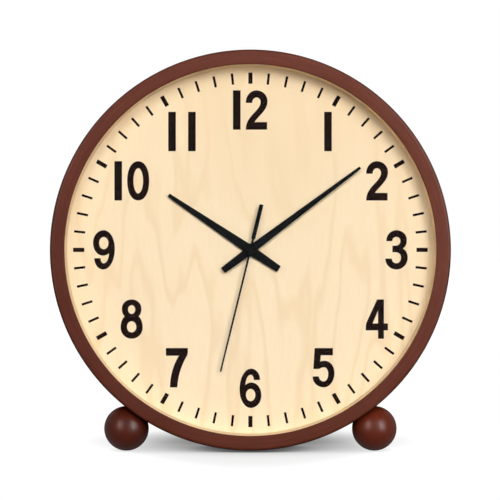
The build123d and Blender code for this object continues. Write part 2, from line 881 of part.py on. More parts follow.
with BuildPart() as positive_contact:
    add(contact(1, battery_low + battery_length + battery_cap_height + contact_gap))
save(positive_contact, "positive_contact")

# ================================================================ setting knob
with BuildPart(in_movement(knob_front, minute_x, minute_y)) as setting_knob:
    Cylinder(knob_radius, knob_height, align=BEHIND)
    with PolarLocations(knob_radius + knob_flute_radius / 2, knob_flutes):
        Cylinder(knob_flute_radius, knob_height, align=BEHIND, mode=Mode.SUBTRACT)
    Cylinder(knob_arbor_radius + press_gap, knob_height / 2, align=BEHIND, mode=Mode.SUBTRACT)
save(setting_knob, "setting_knob")
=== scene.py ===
"""Round wooden desk clock on two ball feet: finishes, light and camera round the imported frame.

Lengths are metres. A piece is drawn in the clock's own axes, x to the right, y up the dial and
z out of the glass with 0 at the front of the case, and is then carried to its place.
"""

import json
import logging
import math
from dataclasses import dataclass
from enum import Enum
from typing import Sequence

import bmesh
import bpy
from mathutils import Matrix, Vector
from mathutils.geometry import tessellate_polygon

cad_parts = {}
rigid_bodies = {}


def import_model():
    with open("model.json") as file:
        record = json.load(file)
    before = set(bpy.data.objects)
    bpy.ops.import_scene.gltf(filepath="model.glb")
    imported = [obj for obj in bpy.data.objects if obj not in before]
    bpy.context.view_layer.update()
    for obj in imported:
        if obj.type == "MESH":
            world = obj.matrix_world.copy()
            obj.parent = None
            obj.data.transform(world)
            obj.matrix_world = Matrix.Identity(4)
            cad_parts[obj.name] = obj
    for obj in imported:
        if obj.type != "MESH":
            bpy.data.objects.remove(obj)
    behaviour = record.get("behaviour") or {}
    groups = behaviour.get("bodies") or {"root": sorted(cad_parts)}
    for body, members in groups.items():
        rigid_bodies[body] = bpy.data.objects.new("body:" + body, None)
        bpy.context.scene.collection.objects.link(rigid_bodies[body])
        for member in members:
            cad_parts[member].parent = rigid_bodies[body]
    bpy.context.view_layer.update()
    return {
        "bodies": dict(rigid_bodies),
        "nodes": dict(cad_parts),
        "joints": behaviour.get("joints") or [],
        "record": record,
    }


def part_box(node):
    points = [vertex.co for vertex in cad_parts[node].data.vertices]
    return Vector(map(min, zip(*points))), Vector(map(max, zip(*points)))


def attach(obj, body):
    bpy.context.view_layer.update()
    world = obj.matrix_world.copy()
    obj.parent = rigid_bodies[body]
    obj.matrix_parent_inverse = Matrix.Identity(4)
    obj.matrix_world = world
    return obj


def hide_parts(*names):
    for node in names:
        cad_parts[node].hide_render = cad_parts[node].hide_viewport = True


LOG = logging.getLogger("clock")
MM = 0.001

Point = tuple[float, float]
Corner = tuple[float, float, float]
Outline = list[Point]
Colour = tuple[float, float, float]
Mesh = bpy.types.Mesh
Node = bpy.types.Node
NodeTree = bpy.types.NodeTree
Socket = bpy.types.NodeSocket


def srgb(red: int, green: int, blue: int) -> Colour:
    """The light that a colour shown as 0 to 255 on a screen stands for."""
    shares = (value / 255 for value in (red, green, blue))
    return tuple(s / 12.92 if s <= 0.04045 else ((s + 0.055) / 1.055) ** 2.4 for s in shares)


# --- axes


@dataclass(frozen=True)
class Span:
    """How far a node reaches along the clock's axis and from it."""

    back: float
    front: float
    inner: float
    outer: float


@dataclass(frozen=True)
class ClockAxes:
    """The clock's own axes, as they stand in the frame."""

    origin: Vector
    out: Vector
    nodes: dict[str, bpy.types.Object]

    @classmethod
    def of(cls, frame: dict) -> "ClockAxes":
        """Finds the axes from the joint that the minute hand turns on.


        Returns:
            The axes, with their origin at the front of the case.
        """
        joint = next(j for j in frame["joints"] if j["name"] == "minute_hand_turn")
        out = -Vector(joint["axis"]).normalized()
        start = Vector(joint["pos_m"])
        reach = max((vertex.co - start).dot(out) for vertex in frame["nodes"]["case_ring"].data.vertices)
        return cls(start + out * reach, out, frame["nodes"])

    @property
    def place(self) -> Matrix:
        """The matrix that carries a drawn piece to its place.

        Returns:
            The turn and the shift from these axes to the frame's.
        """
        right = Vector((1, 0, 0))
        turn = Matrix((right, self.out.cross(right), self.out)).transposed()
        return Matrix.Translation(self.origin) @ turn.to_4x4()

    @property
    def tilt(self) -> float:
        """The turn about x that carries these axes to the frame's."""
        return math.pi / 2 - math.atan2(self.out.z, -self.out.y)

    def corners(self, node: str) -> list[Vector]:
        """The points of a CAD node, in the clock's own axes."""
        home = self.place.inverted()
        return [home @ vertex.co for vertex in self.nodes[node].data.vertices]

    def span(self, node: str) -> Span:
        """How far a CAD node reaches.

        Args:
            node: The node's name.

        Returns:
            Its depths and its radii about the clock's axis.
        """
        points = self.corners(node)
        depths = [p.z for p in points]
        radii = [math.hypot(p.x, p.y) for p in points]
        return Span(min(depths), max(depths), min(radii), max(radii))


# --- drawing


def soften(corners: Sequence[Corner], steps: int = 6) -> Outline:
    """Rounds the corners of a closed outline.

    Args:
        corners: Each corner's x, y and rounding radius, in order.
        steps: How many chords a rounding has.

    Returns:
        The points of the rounded outline.
    """
    points: Outline = []
    for i, (x, y, radius) in enumerate(corners):
        if radius <= 0:
            points.append((x, y))
            continue
        here = Vector((x, y))
        before = (Vector(corners[i - 1][:2]) - here).normalized()
        after = (Vector(corners[(i + 1) % len(corners)][:2]) - here).normalized()
        half = before.angle(after) / 2
        reach = radius / math.tan(half)
        middle = here + (before + after).normalized() * radius / math.sin(half)
        start = here + before * reach - middle
        turn = start.angle_signed(here + after * reach - middle)
        for step in range(steps + 1):
            arm = start.copy()
            arm.rotate(Matrix.Rotation(-turn * step / steps, 2))
            points.append(tuple(middle + arm))
    return points


def both_sides(half: Sequence[Corner]) -> list[Corner]:
    """The corners of a shape that is alike on both sides of y, from those on its right."""
    return [*half, *((-x, y, radius) for x, y, radius in reversed(half))]


def ellipse(x: float, y: float, across: float, high: float, steps: int = 40) -> Outline:
    """An ellipse by its middle and half its width and height, drawn counter-clockwise."""
    turns = (2 * math.pi * i / steps for i in range(steps))
    return [(x + across * math.cos(t), y + high * math.sin(t)) for t in turns]


def area(outline: Outline) -> float:
    """Twice an outline's area, which is above 0 if it runs counter-clockwise."""
    return sum(a[0] * b[1] - b[0] * a[1] for a, b in zip(outline, outline[1:] + outline[:1]))


def inset(outline: Outline, distance: float) -> Outline:
    """Moves an outline to its left, which is inwards if it runs counter-clockwise.

    Args:
        outline: The points, in order.
        distance: How far each side moves.

    Returns:
        The moved points, in the same order.
    """
    moved: Outline = []
    for i, (x, y) in enumerate(outline):
        to_here = (Vector((x, y)) - Vector(outline[i - 1])).normalized()
        to_next = (Vector(outline[(i + 1) % len(outline)]) - Vector((x, y))).normalized()
        left = Vector((-to_here.y, to_here.x))
        next_left = Vector((-to_next.y, to_next.x))
        step = (left + next_left) * distance / (1 + left.dot(next_left))
        moved.append((x + step.x, y + step.y))
    return moved


class Drawing:
    """A mesh that is being drawn in the clock's own axes."""

    def __init__(self) -> None:
        """Starts an empty mesh."""
        self.mesh = bmesh.new()

    def loop(self, outline: Outline, height: float) -> list[bmesh.types.BMVert]:
        """The points of an outline, set down at one height."""
        return [self.mesh.verts.new((x, y, height)) for x, y in outline]

    def skin(self, loops: Sequence[list[bmesh.types.BMVert]], closed: bool = True) -> None:
        """Spans faces from each loop of points to the next.

        Args:
            loops: The loops, with as many points each.
            closed: False if a loop's last point isn't joined to its first.
        """
        for low, high in zip(loops, loops[1:]):
            for j in range(len(low) if closed else len(low) - 1):
                k = (j + 1) % len(low)
                self.mesh.faces.new((low[j], low[k], high[k], high[j]))

    def lathe(self, profile: Outline, steps: int = 256, closed: bool = True) -> "Drawing":
        """Turns a profile about the z axis.

        Args:
            profile: Radius and height of each point.
            steps: How many times it is set round the axis.
            closed: False if the profile starts and ends on the axis.

        Returns:
            This drawing.
        """
        turns = [2 * math.pi * i / steps for i in range(steps)]
        new = self.mesh.verts.new
        rings = [[new((r * math.cos(t), r * math.sin(t), z)) for r, z in profile] for t in turns]
        self.skin(rings + rings[:1], closed)
        return self

    def plate(self, outlines: Sequence[Outline], back: float, front: float, edge: float = 0.0) -> "Drawing":
        """Adds a flat plate.

        Args:
            outlines: The outside, counter-clockwise, and any holes, clockwise.
            back: Height of the back face.
            front: Height of the front face.
            edge: How far the rims are rounded.

        Returns:
            This drawing.
        """
        layers = [(0.0, back), (0.0, front)]
        if edge:
            turns = [math.radians(angle) for angle in (0, 30, 60, 90)]
            low = [(edge * (1 - math.sin(t)), back + edge * (1 - math.cos(t))) for t in turns]
            high = [(edge * (1 - math.cos(t)), front - edge * (1 - math.sin(t))) for t in turns]
            layers = low + high
        for outline in outlines:
            self.skin([self.loop(inset(outline, distance), height) for distance, height in layers])
        for distance, height in (layers[0], layers[-1]):
            self.cap([inset(outline, distance) for outline in outlines], height)
        return self

    def cap(self, outlines: Sequence[Outline], height: float) -> None:
        """Fills the area between outlines.

        Args:
            outlines: The outside and any holes.
            height: Height of the flat face.
        """
        loops = [[Vector((x, y, height)) for x, y in outline] for outline in outlines]
        corners = [self.mesh.verts.new(point) for loop in loops for point in loop]
        for triangle in tessellate_polygon(loops):
            self.mesh.faces.new([corners[i] for i in triangle])

    def move(self, place: Matrix) -> "Drawing":
        """Moves all that is drawn so far."""
        bmesh.ops.transform(self.mesh, matrix=place, verts=self.mesh.verts)
        return self

    def into_mesh(self, name: str) -> Mesh:
        """Closes seams and poles, points the faces outwards and ends the drawing.

        Args:
            name: The mesh's name.

        Returns:
            The finished mesh, still in the clock's own axes.
        """
        bmesh.ops.remove_doubles(self.mesh, verts=self.mesh.verts, dist=2e-7)
        bmesh.ops.recalc_face_normals(self.mesh, faces=self.mesh.faces)
        mesh = bpy.data.meshes.new(name)
        self.mesh.to_mesh(mesh)
        self.mesh.free()
        return mesh


# --- nodes


def feed(tree: NodeTree, socket: Socket, value: object) -> None:
    """Links a socket to another one, or gives it a plain value.

    Args:
        tree: The nodes that it is one of.
        socket: What is fed.
        value: A socket or a value.
    """
    if isinstance(value, Socket):
        tree.links.new(value, socket)
    else:
        socket.default_value = value


def add_node(tree: NodeTree, kind: str, inputs: dict | None = None, **settings: object) -> Node:
    """Adds a node.

    Args:
        tree: Where it is added.
        kind: Its type.
        inputs: A value or a socket for each input, by name or number.
        **settings: The node's own properties.

    Returns:
        The node.
    """
    node = tree.nodes.new(kind)
    for name, value in settings.items():
        setattr(node, name, value)
    for name, value in (inputs or {}).items():
        feed(tree, node.inputs[name], value)
    return node


def looked_at(tree: NodeTree) -> Socket:
    """A value that is 1 where a surface is looked at, straight or in a reflection.

    Args:
        tree: The nodes that need it.

    Returns:
        The value socket.
    """
    path = add_node(tree, "ShaderNodeLightPath").outputs
    value = path["Is Camera Ray"]
    for name in ("Is Glossy Ray", "Is Transmission Ray"):
        value = add_node(tree, "ShaderNodeMath", {0: value, 1: path[name]}, operation="MAXIMUM").outputs[0]
    return value


class Paint:
    """A material's nodes, with short ways to add what the finishes share."""

    def __init__(self, name: str, axes: ClockAxes) -> None:
        """Starts a material.

        Args:
            name: Its name.
            axes: The clock's axes, which patterns follow.
        """
        self.material = bpy.data.materials.new(name)
        self.material.use_nodes = True
        self.tree = self.material.node_tree
        self.shader = self.tree.nodes["Principled BSDF"]
        self.axes = axes

    def add(self, kind: str, inputs: dict | None = None, out: int | str = 0, **settings: object) -> Socket:
        """Adds a node and gives one of its outputs."""
        return add_node(self.tree, kind, inputs, **settings).outputs[out]

    def parts(self, vector: Socket) -> Sequence[Socket]:
        """The x, y and z of a vector."""
        return add_node(self.tree, "ShaderNodeSeparateXYZ", {0: vector}).outputs

    def own(self, stretch: Colour = (1.0, 1.0, 1.0)) -> Socket:
        """A place in the clock's own axes.

        Args:
            stretch: What each axis is divided by, which draws a pattern out.

        Returns:
            The vector socket.
        """
        inputs = {
            "Vector": self.add("ShaderNodeTexCoord", out="Object"),
            "Location": self.axes.origin,
            "Rotation": (self.axes.tilt, 0, 0),
            "Scale": stretch,
        }
        return self.add("ShaderNodeMapping", inputs, vector_type="TEXTURE")

    def noise(self, vector: Socket, scale: float = 1.0, detail: float = 2.0, roughness: float = 0.5,
              distortion: float = 0.0) -> Socket:
        """Soft noise from 0 to 1."""
        inputs = {"Vector": vector, "Scale": scale, "Detail": detail, "Roughness": roughness}
        return self.add("ShaderNodeTexNoise", inputs | {"Distortion": distortion})

    def spread(self, value: Socket, low: float, high: float, start: float = 0.3, end: float = 0.7,
               **settings: object) -> Socket:
        """Stretches a value's range from start to end over the one from low to high."""
        inputs = {"Value": value, "From Min": start, "From Max": end, "To Min": low, "To Max": high}
        return self.add("ShaderNodeMapRange", inputs, **settings)

    def ramp(self, value: Socket, *stops: tuple[float, Colour]) -> Socket:
        """Turns a value into a colour.

        Args:
            value: What is read.
            *stops: Where each colour stands, and the colour.

        Returns:
            The colour socket.
        """
        node = add_node(self.tree, "ShaderNodeValToRGB", {0: value})
        elements = node.color_ramp.elements
        while len(elements) < len(stops):
            elements.new(1.0)
        for element, (place, colour) in zip(elements, stops):
            element.position = place
            element.color = (*colour, 1.0)
        return node.outputs[0]

    def blend(self, share: Socket, under: Socket, over: Socket | Colour) -> Socket:
        """A colour with a share of another one over it."""
        top = over if isinstance(over, Socket) else (*over, 1.0)
        return self.add("ShaderNodeMix", {0: share, 6: under, 7: top}, 2, data_type="RGBA")

    def math(self, kind: str, *values: Socket | float) -> Socket:
        """Works out a value from others."""
        return self.add("ShaderNodeMath", dict(enumerate(values)), operation=kind)

    def length(self, kind: str, *vectors: Socket | Colour) -> Socket:
        """Works out a value from vectors."""
        return self.add("ShaderNodeVectorMath", dict(enumerate(vectors)), "Value", operation=kind)

    def facing(self) -> Socket:
        """A value from 0, where a surface is looked at squarely, to 1 at a slant."""
        return self.add("ShaderNodeLayerWeight", {"Blend": 0.5}, "Facing")

    def relief(self, height: Socket, depth: float, strength: float) -> None:
        """Gives the surface a fine relief from a height of 0 to 1."""
        bump = self.add("ShaderNodeBump", {"Height": height, "Distance": depth, "Strength": strength})
        self.set(Normal=bump)

    def set(self, **values: object) -> None:
        """Sets or links the shader's own sockets, named with _ in place of a space."""
        for name, value in values.items():
            feed(self.tree, self.shader.inputs[name.replace("_", " ")], value)


# --- finishes


class Grain(Enum):
    """Which way the fibres of a wooden piece run."""

    ROUND = "round the clock's axis"
    UPRIGHT = "up the dial"


@dataclass(frozen=True)
class Finish:
    """A surface: what its material is called, and how it is painted."""

    name: str

    def paint(self, paint: Paint) -> None:
        """Sets the shader up."""
        raise NotImplementedError

    def material(self, axes: ClockAxes) -> bpy.types.Material:
        """The finished material, made once.

        Args:
            axes: The clock's axes.

        Returns:
            The material.
        """
        name = f"{self.name}_finish"
        if name not in bpy.data.materials:
            self.paint(Paint(name, axes))
        return bpy.data.materials[name]


@dataclass(frozen=True)
class StainedWood(Finish):
    """Hardwood with a dark stain and a satin lacquer."""

    light: Colour
    dark: Colour
    deep: Colour
    grain: Grain
    fibre_length: float = 26 * MM
    fibre_width: float = 0.9 * MM
    ring_radius: float = 100 * MM
    roughness: float = 0.42
    specular: float = 0.2
    # Painted shade low on the left: the direction it deepens along, its greatest share and how far it
    # spreads.
    deep_side: Colour = (-0.65, -0.75, 0.0)
    deeper: float = 0.7
    deeper_reach: float = 0.1
    # Painted shade on the outer rounding of the front: the radii it lies between, how far back it reaches,
    # its dark colour and its share.
    rim: Point | None = None
    rim_depth: Point = (-14 * MM, -5 * MM)
    rim_stain: Colour = (0.012, 0.004, 0.003)
    rim_share: float = 0.7

    def paint(self, paint: Paint) -> None:
        """Streaks along the fibres, random darker clouds, painted shade low on the left, a painted dark
        edge where a rim is given, and open pores.

        Args:
            paint: The material's nodes.
        """
        own = paint.own()
        x, y, z = paint.parts(own)
        flat = paint.add("ShaderNodeCombineXYZ", {0: x, 1: y})
        radius = paint.length("LENGTH", flat)
        if self.grain is Grain.ROUND:
            bearing = paint.parts(paint.add("ShaderNodeVectorMath", {0: flat}, operation="NORMALIZE"))
            run = self.ring_radius / self.fibre_length
            across = paint.math("MULTIPLY", paint.math("ADD", radius, z), 1 / self.fibre_width)
            along = [paint.math("MULTIPLY", part, run) for part in bearing[:2]]
            fibres = paint.add("ShaderNodeCombineXYZ", {0: along[0], 1: along[1], 2: across})
        else:
            fibres = paint.own((self.fibre_width, self.fibre_length, self.fibre_width))
        streaks = paint.noise(fibres, 1.0, 4.0, 0.6, 0.3)
        pores = paint.noise(fibres, 3.1)
        clouds = paint.noise(own, 26.0)
        wood = paint.ramp(streaks, (0.28, self.dark), (0.72, self.light))
        # Painted shade: the wood darkens towards the lower left, where the lamps from the upper right light
        # it less; the deep colour stands for both this shade and the random clouds.
        side = paint.length("DOT_PRODUCT", own, self.deep_side)
        depth = paint.spread(side, 0.0, self.deeper, -self.deeper_reach, self.deeper_reach)
        toned_and_shaded = paint.blend(paint.math("ADD", depth, paint.spread(clouds, -0.1, 0.16)), wood, self.deep)
        colour = paint.blend(paint.spread(pores, 0.22, 0.0, 0.30, 0.42), toned_and_shaded, (0.0, 0.0, 0.0))
        gloss = paint.spread(paint.facing(), self.specular, 0.0, 0.35, 0.8)
        # Painted shade: darkens the outer edge of the front rounding and takes its gloss away, standing in
        # for a dark reflection there.
        if self.rim:
            front = paint.spread(z, 0.0, 1.0, *self.rim_depth)
            edge = paint.math("MULTIPLY", front, paint.spread(radius, 0.0, 1.0, *self.rim))
            colour = paint.blend(paint.math("MULTIPLY", edge, self.rim_share), colour, self.rim_stain)
            gloss = paint.math("MULTIPLY", gloss, paint.math("SUBTRACT", 1.0, edge))
        paint.set(
            Base_Color=colour,
            Roughness=paint.spread(streaks, self.roughness + 0.05, self.roughness - 0.04),
            Specular_IOR_Level=gloss,
        )
        paint.relief(paint.math("ADD", streaks, pores), 0.035 * MM, 0.35)


@dataclass(frozen=True)
class PaleVeneer(Finish):
    """Thin peeled veneer, its growth rings drawn out into tall flames, under a matt lacquer."""

    light: Colour
    shade: Colour
    line: Colour
    flame_width: float = 34 * MM
    flame_height: float = 170 * MM
    ring_count: float = 8.0
    cloud: Colour = (46 * MM, 80 * MM, 60 * MM)
    fibre: Colour = (0.5 * MM, 8 * MM, 5 * MM)
    warm_from: float = -50 * MM
    warm_to: float = 95 * MM
    specular: float = 0.04

    def paint(self, paint: Paint) -> None:
        """Flames with one sharp edge each, warm clouds and fine upright fibres.

        Args:
            paint: The material's nodes.
        """
        tall = paint.own((self.flame_width, self.flame_height, 4 * self.flame_width))
        flames = paint.noise(tall, 1.0, 3.0, 0.42, 0.12)
        growth = paint.math("FRACT", paint.math("MULTIPLY", flames, self.ring_count))
        rings = paint.ramp(
            growth,
            (0.0, self.line),
            (0.05, self.shade),
            (0.30, self.light),
            (0.86, self.light),
            (1.0, self.shade),
        )
        clouds = paint.spread(paint.noise(paint.own(self.cloud), distortion=0.3), 1.0, 0.35, 0.36, 0.62)
        height = paint.spread(paint.parts(paint.own())[1], 0.1, 1.0, self.warm_from, self.warm_to)
        warmed = paint.blend(paint.math("MULTIPLY", clouds, height), rings, self.shade)
        fibres = paint.noise(paint.own(self.fibre))
        paint.set(
            Base_Color=paint.blend(paint.spread(fibres, 0.35, 0.0, 0.3, 0.6), warmed, self.shade),
            Roughness=paint.spread(fibres, 0.62, 0.54),
            Specular_IOR_Level=self.specular,
        )
        paint.relief(fibres, 0.02 * MM, 0.25)


@dataclass(frozen=True)
class Board(Finish):
    """Pressed board or card: short fibres every way."""

    light: Colour
    dark: Colour
    fibre: float = 0.6 * MM
    roughness: float = 0.8
    relief: float = 0.05 * MM
    specular: float = 0.05

    def paint(self, paint: Paint) -> None:
        """Crossed fibres over soft clouds.

        Args:
            paint: The material's nodes.
        """
        thin, long = self.fibre, self.fibre * 5
        crossed = ((thin, long, thin), (long, thin, thin))
        ways = [paint.noise(paint.own(way), 1.0, 2.0, 0.6, 0.6) for way in crossed]
        fibres = paint.math("MULTIPLY", paint.math("ADD", *ways), 0.5)
        clouds = paint.spread(paint.noise(paint.own(), 60.0, 3.0), 0.0, 0.3)
        colour = paint.ramp(fibres, (0.32, self.dark), (0.62, self.light))
        paint.set(
            Base_Color=paint.blend(clouds, colour, self.dark),
            Roughness=paint.spread(fibres, self.roughness + 0.06, self.roughness - 0.06),
            Specular_IOR_Level=self.specular,
        )
        paint.relief(fibres, self.relief, 0.5)


@dataclass(frozen=True)
class Lacquer(Finish):
    """An even coat, matt or satin, with the faint texture that spraying leaves."""

    colour: Colour
    bloom: Colour
    roughness: float = 0.5
    texture: float = 0.25 * MM
    relief: float = 0.006 * MM
    specular: float = 0.4

    def paint(self, paint: Paint) -> None:
        """Fine spray texture and a slight bloom.

        Args:
            paint: The material's nodes.
        """
        own = paint.own()
        spray = paint.noise(own, 1 / self.texture, 2.0, 0.6)
        bloom = paint.noise(own, 90.0, 3.0, 0.55)
        paint.set(
            Base_Color=paint.ramp(bloom, (0.3, self.colour), (0.75, self.bloom)),
            Roughness=paint.spread(spray, self.roughness - 0.05, self.roughness + 0.07),
            Specular_IOR_Level=self.specular,
        )
        paint.relief(spray, self.relief, 0.6)


@dataclass(frozen=True)
class Moulding(Finish):
    """Moulded plastic with a spark-eroded grain."""

    colour: Colour
    worn: Colour
    roughness: float = 0.5
    grain: float = 0.18 * MM
    relief: float = 0.012 * MM

    def paint(self, paint: Paint) -> None:
        """Pitted grain, and handling that polishes it in patches.

        Args:
            paint: The material's nodes.
        """
        own = paint.own()
        patches = paint.noise(own, 120.0, 3.0, 0.6)
        paint.set(
            Base_Color=paint.ramp(patches, (0.3, self.colour), (0.8, self.worn)),
            Roughness=paint.spread(patches, self.roughness + 0.06, self.roughness - 0.08),
        )
        pits = paint.add("ShaderNodeTexVoronoi", {"Vector": own, "Scale": 1 / self.grain})
        paint.relief(pits, self.relief, 0.5)


class Tooling(Enum):
    """How a metal surface was worked, as what its marks are drawn out by on each axis, in mm."""

    BRUSHED = (0.05, 6.0, 0.05)
    TURNED = (0.12, 0.12, 0.06)
    WOUND = (8.0, 0.14, 8.0)


@dataclass(frozen=True)
class Metal(Finish):
    """Bare, plated or lacquered metal."""

    colour: Colour
    dark: Colour
    tooling: Tooling
    roughness: float = 0.32
    relief: float = 0.004 * MM

    def paint(self, paint: Paint) -> None:
        """Tool marks and slight tarnish.

        Args:
            paint: The material's nodes.
        """
        marks = paint.noise(paint.own(tuple(v * MM for v in self.tooling.value)), 1.0, 2.0, 0.6)
        tarnish = paint.noise(paint.own(), 220.0, 4.0, 0.6)
        paint.set(
            Base_Color=paint.ramp(tarnish, (0.3, self.dark), (0.6, self.colour)),
            Metallic=1.0,
            Roughness=paint.spread(marks, self.roughness - 0.08, self.roughness + 0.1),
        )
        paint.relief(marks, self.relief, 0.5)


@dataclass(frozen=True)
class ClearGlass(Finish):
    """A clear pane with a coating that takes the glare away, but for a slanting look."""

    glare: float = 0.002
    slanting_glare: float = 0.55
    wipe: Colour = (40 * MM, 9 * MM, 40 * MM)

    def paint(self, paint: Paint) -> None:
        """A mirror thin enough to see through, with the faint film that wiping leaves.

        Args:
            paint: The material's nodes.
        """
        film = paint.noise(paint.own(self.wipe), 1.0, 3.0, 0.6, 1.5)
        slant = paint.math("POWER", paint.facing(), 4.0)
        paint.set(
            Base_Color=(1.0, 1.0, 1.0, 1.0),
            Metallic=1.0,
            Roughness=paint.spread(film, 0.01, 0.05),
            Alpha=paint.spread(slant, self.glare, self.slanting_glare, 0.0, 1.0),
        )


class Finishes:
    """Every finish of the clock."""

    # Each stained wood's third colour is the deep tone that its random clouds and its painted shade low on
    # the left run towards.
    case = StainedWood(
        "stained_case", srgb(116, 60, 45), srgb(99, 48, 34), srgb(76, 30, 15), Grain.ROUND,
        specular=0.05, rim=(99.3 * MM, 99.8 * MM),
    )
    foot = StainedWood(
        "stained_foot", srgb(139, 57, 28), srgb(129, 51, 25), srgb(43, 11, 8), Grain.UPRIGHT,
        fibre_length=40 * MM, fibre_width=2.4 * MM, roughness=0.35, specular=0.09, deeper=0.8,
        deeper_reach=0.08,
    )
    dial = PaleVeneer("dial_veneer", srgb(249, 228, 193), srgb(242, 217, 177), srgb(243, 218, 176))
    ink = Lacquer("printing_ink", srgb(22, 9, 6), srgb(27, 12, 9), 0.6, 0.12 * MM, 0.001 * MM, 0.01)
    hands = Lacquer("hand_lacquer", srgb(3, 5, 6), srgb(8, 9, 10), 0.45, 0.14 * MM, 0.002 * MM, 0.02)
    card = Board("pale_card", srgb(240, 217, 180), srgb(229, 204, 166), 0.3 * MM, 0.75, 0.02 * MM)
    fibreboard = Board("fibreboard", srgb(196, 160, 118), srgb(158, 122, 84), 0.7 * MM)
    hardboard = Board("hardboard", srgb(76, 56, 44), srgb(52, 37, 30), 0.5 * MM, 0.62, 0.03 * MM)
    glass = ClearGlass("clear_glass")
    zinc = Metal("zinc_plate", srgb(206, 204, 198), srgb(170, 168, 164), Tooling.TURNED)
    brass = Metal("turned_brass", srgb(222, 186, 112), srgb(186, 146, 78), Tooling.TURNED, 0.26)
    nickel = Metal("nickel_strip", srgb(214, 210, 202), srgb(182, 178, 170), Tooling.BRUSHED, 0.28)
    iron = Metal("soft_iron", srgb(150, 150, 152), srgb(118, 118, 120), Tooling.BRUSHED, 0.42)
    copper = Metal("enamelled_copper", srgb(202, 118, 70), srgb(160, 84, 46), Tooling.WOUND, 0.3)
    ferrite = Lacquer("ferrite", srgb(58, 58, 62), srgb(72, 72, 76), 0.55, 0.3 * MM, 0.012 * MM)
    black_plastic = Moulding("black_moulding", srgb(38, 38, 41), srgb(48, 48, 51))
    white_plastic = Moulding(
        "white_moulding", srgb(236, 235, 226), srgb(226, 224, 213), 0.4, 0.3 * MM, 0.004 * MM
    )
    red_plastic = Moulding("red_moulding", srgb(158, 48, 40), srgb(142, 40, 34), 0.42)
    knob = Moulding("knob_moulding", srgb(44, 44, 47), srgb(56, 56, 60), 0.42, 0.14 * MM)
    circuit = Lacquer("solder_mask", srgb(30, 96, 58), srgb(38, 112, 68), 0.3, 0.6 * MM, 0.004 * MM)
    resin = Lacquer("potting_resin", srgb(22, 22, 23), srgb(30, 30, 32), 0.16, 1.2 * MM, 0.02 * MM)
    jacket = Lacquer("cell_jacket", srgb(34, 62, 112), srgb(40, 72, 126), 0.3, 0.9 * MM, 0.003 * MM, 0.5)


# --- repeats


@dataclass(frozen=True)
class RingOfCopies:
    """Copies of a drawn piece, set round the clock's axis by geometry nodes."""

    count: int
    radius: float
    first_turn: float = 0.0
    every: int = 1
    left_out: bool = False

    def tree(self) -> NodeTree:
        """The node tree that all rings of copies share.

        Returns:
            The tree, with an input for each size.
        """
        name = "Copies round the axis"
        if name in bpy.data.node_groups:
            return bpy.data.node_groups[name]
        tree = bpy.data.node_groups.new(name, "GeometryNodeTree")
        kinds = {
            "Copy": "Geometry", "Count": "Int", "Radius": "Float", "First turn": "Float",
            "Every": "Int", "Left out": "Bool", "Material": "Material",
        }
        for title, kind in kinds.items():
            tree.interface.new_socket(name=title, in_out="INPUT", socket_type=f"NodeSocket{kind}")
        tree.interface.new_socket(name="Ring", in_out="OUTPUT", socket_type="NodeSocketGeometry")

        def add(kind: str, inputs: dict, **settings: object) -> Socket:
            """Adds a node to the tree and gives its first output."""
            return add_node(tree, kind, inputs, **settings).outputs[0]

        given = add_node(tree, "NodeGroupInput").outputs
        index = add("GeometryNodeInputIndex", {})
        step = add("ShaderNodeMath", {0: math.tau, 1: given["Count"]}, operation="DIVIDE")
        first = given["First turn"]
        turned = add("ShaderNodeMath", {0: index, 1: step, 2: first}, operation="MULTIPLY_ADD")
        across = add("ShaderNodeMath", {0: turned}, operation="SINE")
        up = add("ShaderNodeMath", {0: turned}, operation="COSINE")
        direction = add("ShaderNodeCombineXYZ", {0: across, 1: up})
        place = add("ShaderNodeVectorMath", {0: direction, "Scale": given["Radius"]}, operation="SCALE")
        back_turn = add("ShaderNodeMath", {0: turned, 1: -1.0}, operation="MULTIPLY")
        rotation = add("FunctionNodeEulerToRotation", {0: add("ShaderNodeCombineXYZ", {2: back_turn})})
        rest = add("FunctionNodeIntegerMath", {0: index, 1: given["Every"]}, operation="MODULO")
        on_beat = add("FunctionNodeCompare", {2: rest, 3: 0}, data_type="INT", operation="EQUAL")
        chosen = add("FunctionNodeBooleanMath", {0: on_beat, 1: given["Left out"]}, operation="XOR")
        points = add("GeometryNodePoints", {"Count": given["Count"], "Position": place})
        copies = add(
            "GeometryNodeInstanceOnPoints",
            {"Points": points, "Selection": chosen, "Instance": given["Copy"], "Rotation": rotation},
        )
        real = add("GeometryNodeRealizeInstances", {0: copies})
        dressed = add("GeometryNodeSetMaterial", {"Geometry": real, "Material": given["Material"]})
        add_node(tree, "NodeGroupOutput", {0: dressed})
        return tree

    def spread(self, mesh: Mesh, material: bpy.types.Material) -> Mesh:
        """Sets the copies out.

        Args:
            mesh: One copy, drawn round the axis's own place.
            material: What the copies wear.

        Returns:
            All the copies as one mesh.
        """
        name = mesh.name
        holder = bpy.data.objects.new(name, mesh)
        bpy.context.scene.collection.objects.link(holder)
        modifier = holder.modifiers.new("Copies", "NODES")
        modifier.node_group = self.tree()
        values = {
            "Count": self.count,
            "Radius": self.radius,
            "First turn": self.first_turn,
            "Every": self.every,
            "Left out": self.left_out,
            "Material": material,
        }
        for item in modifier.node_group.interface.items_tree:
            if item.name in values:
                modifier[item.identifier] = values[item.name]
        done = bpy.data.meshes.new_from_object(holder.evaluated_get(bpy.context.evaluated_depsgraph_get()))
        bpy.data.objects.remove(holder)
        bpy.data.meshes.remove(mesh)
        done.name = name
        return done


# --- bench


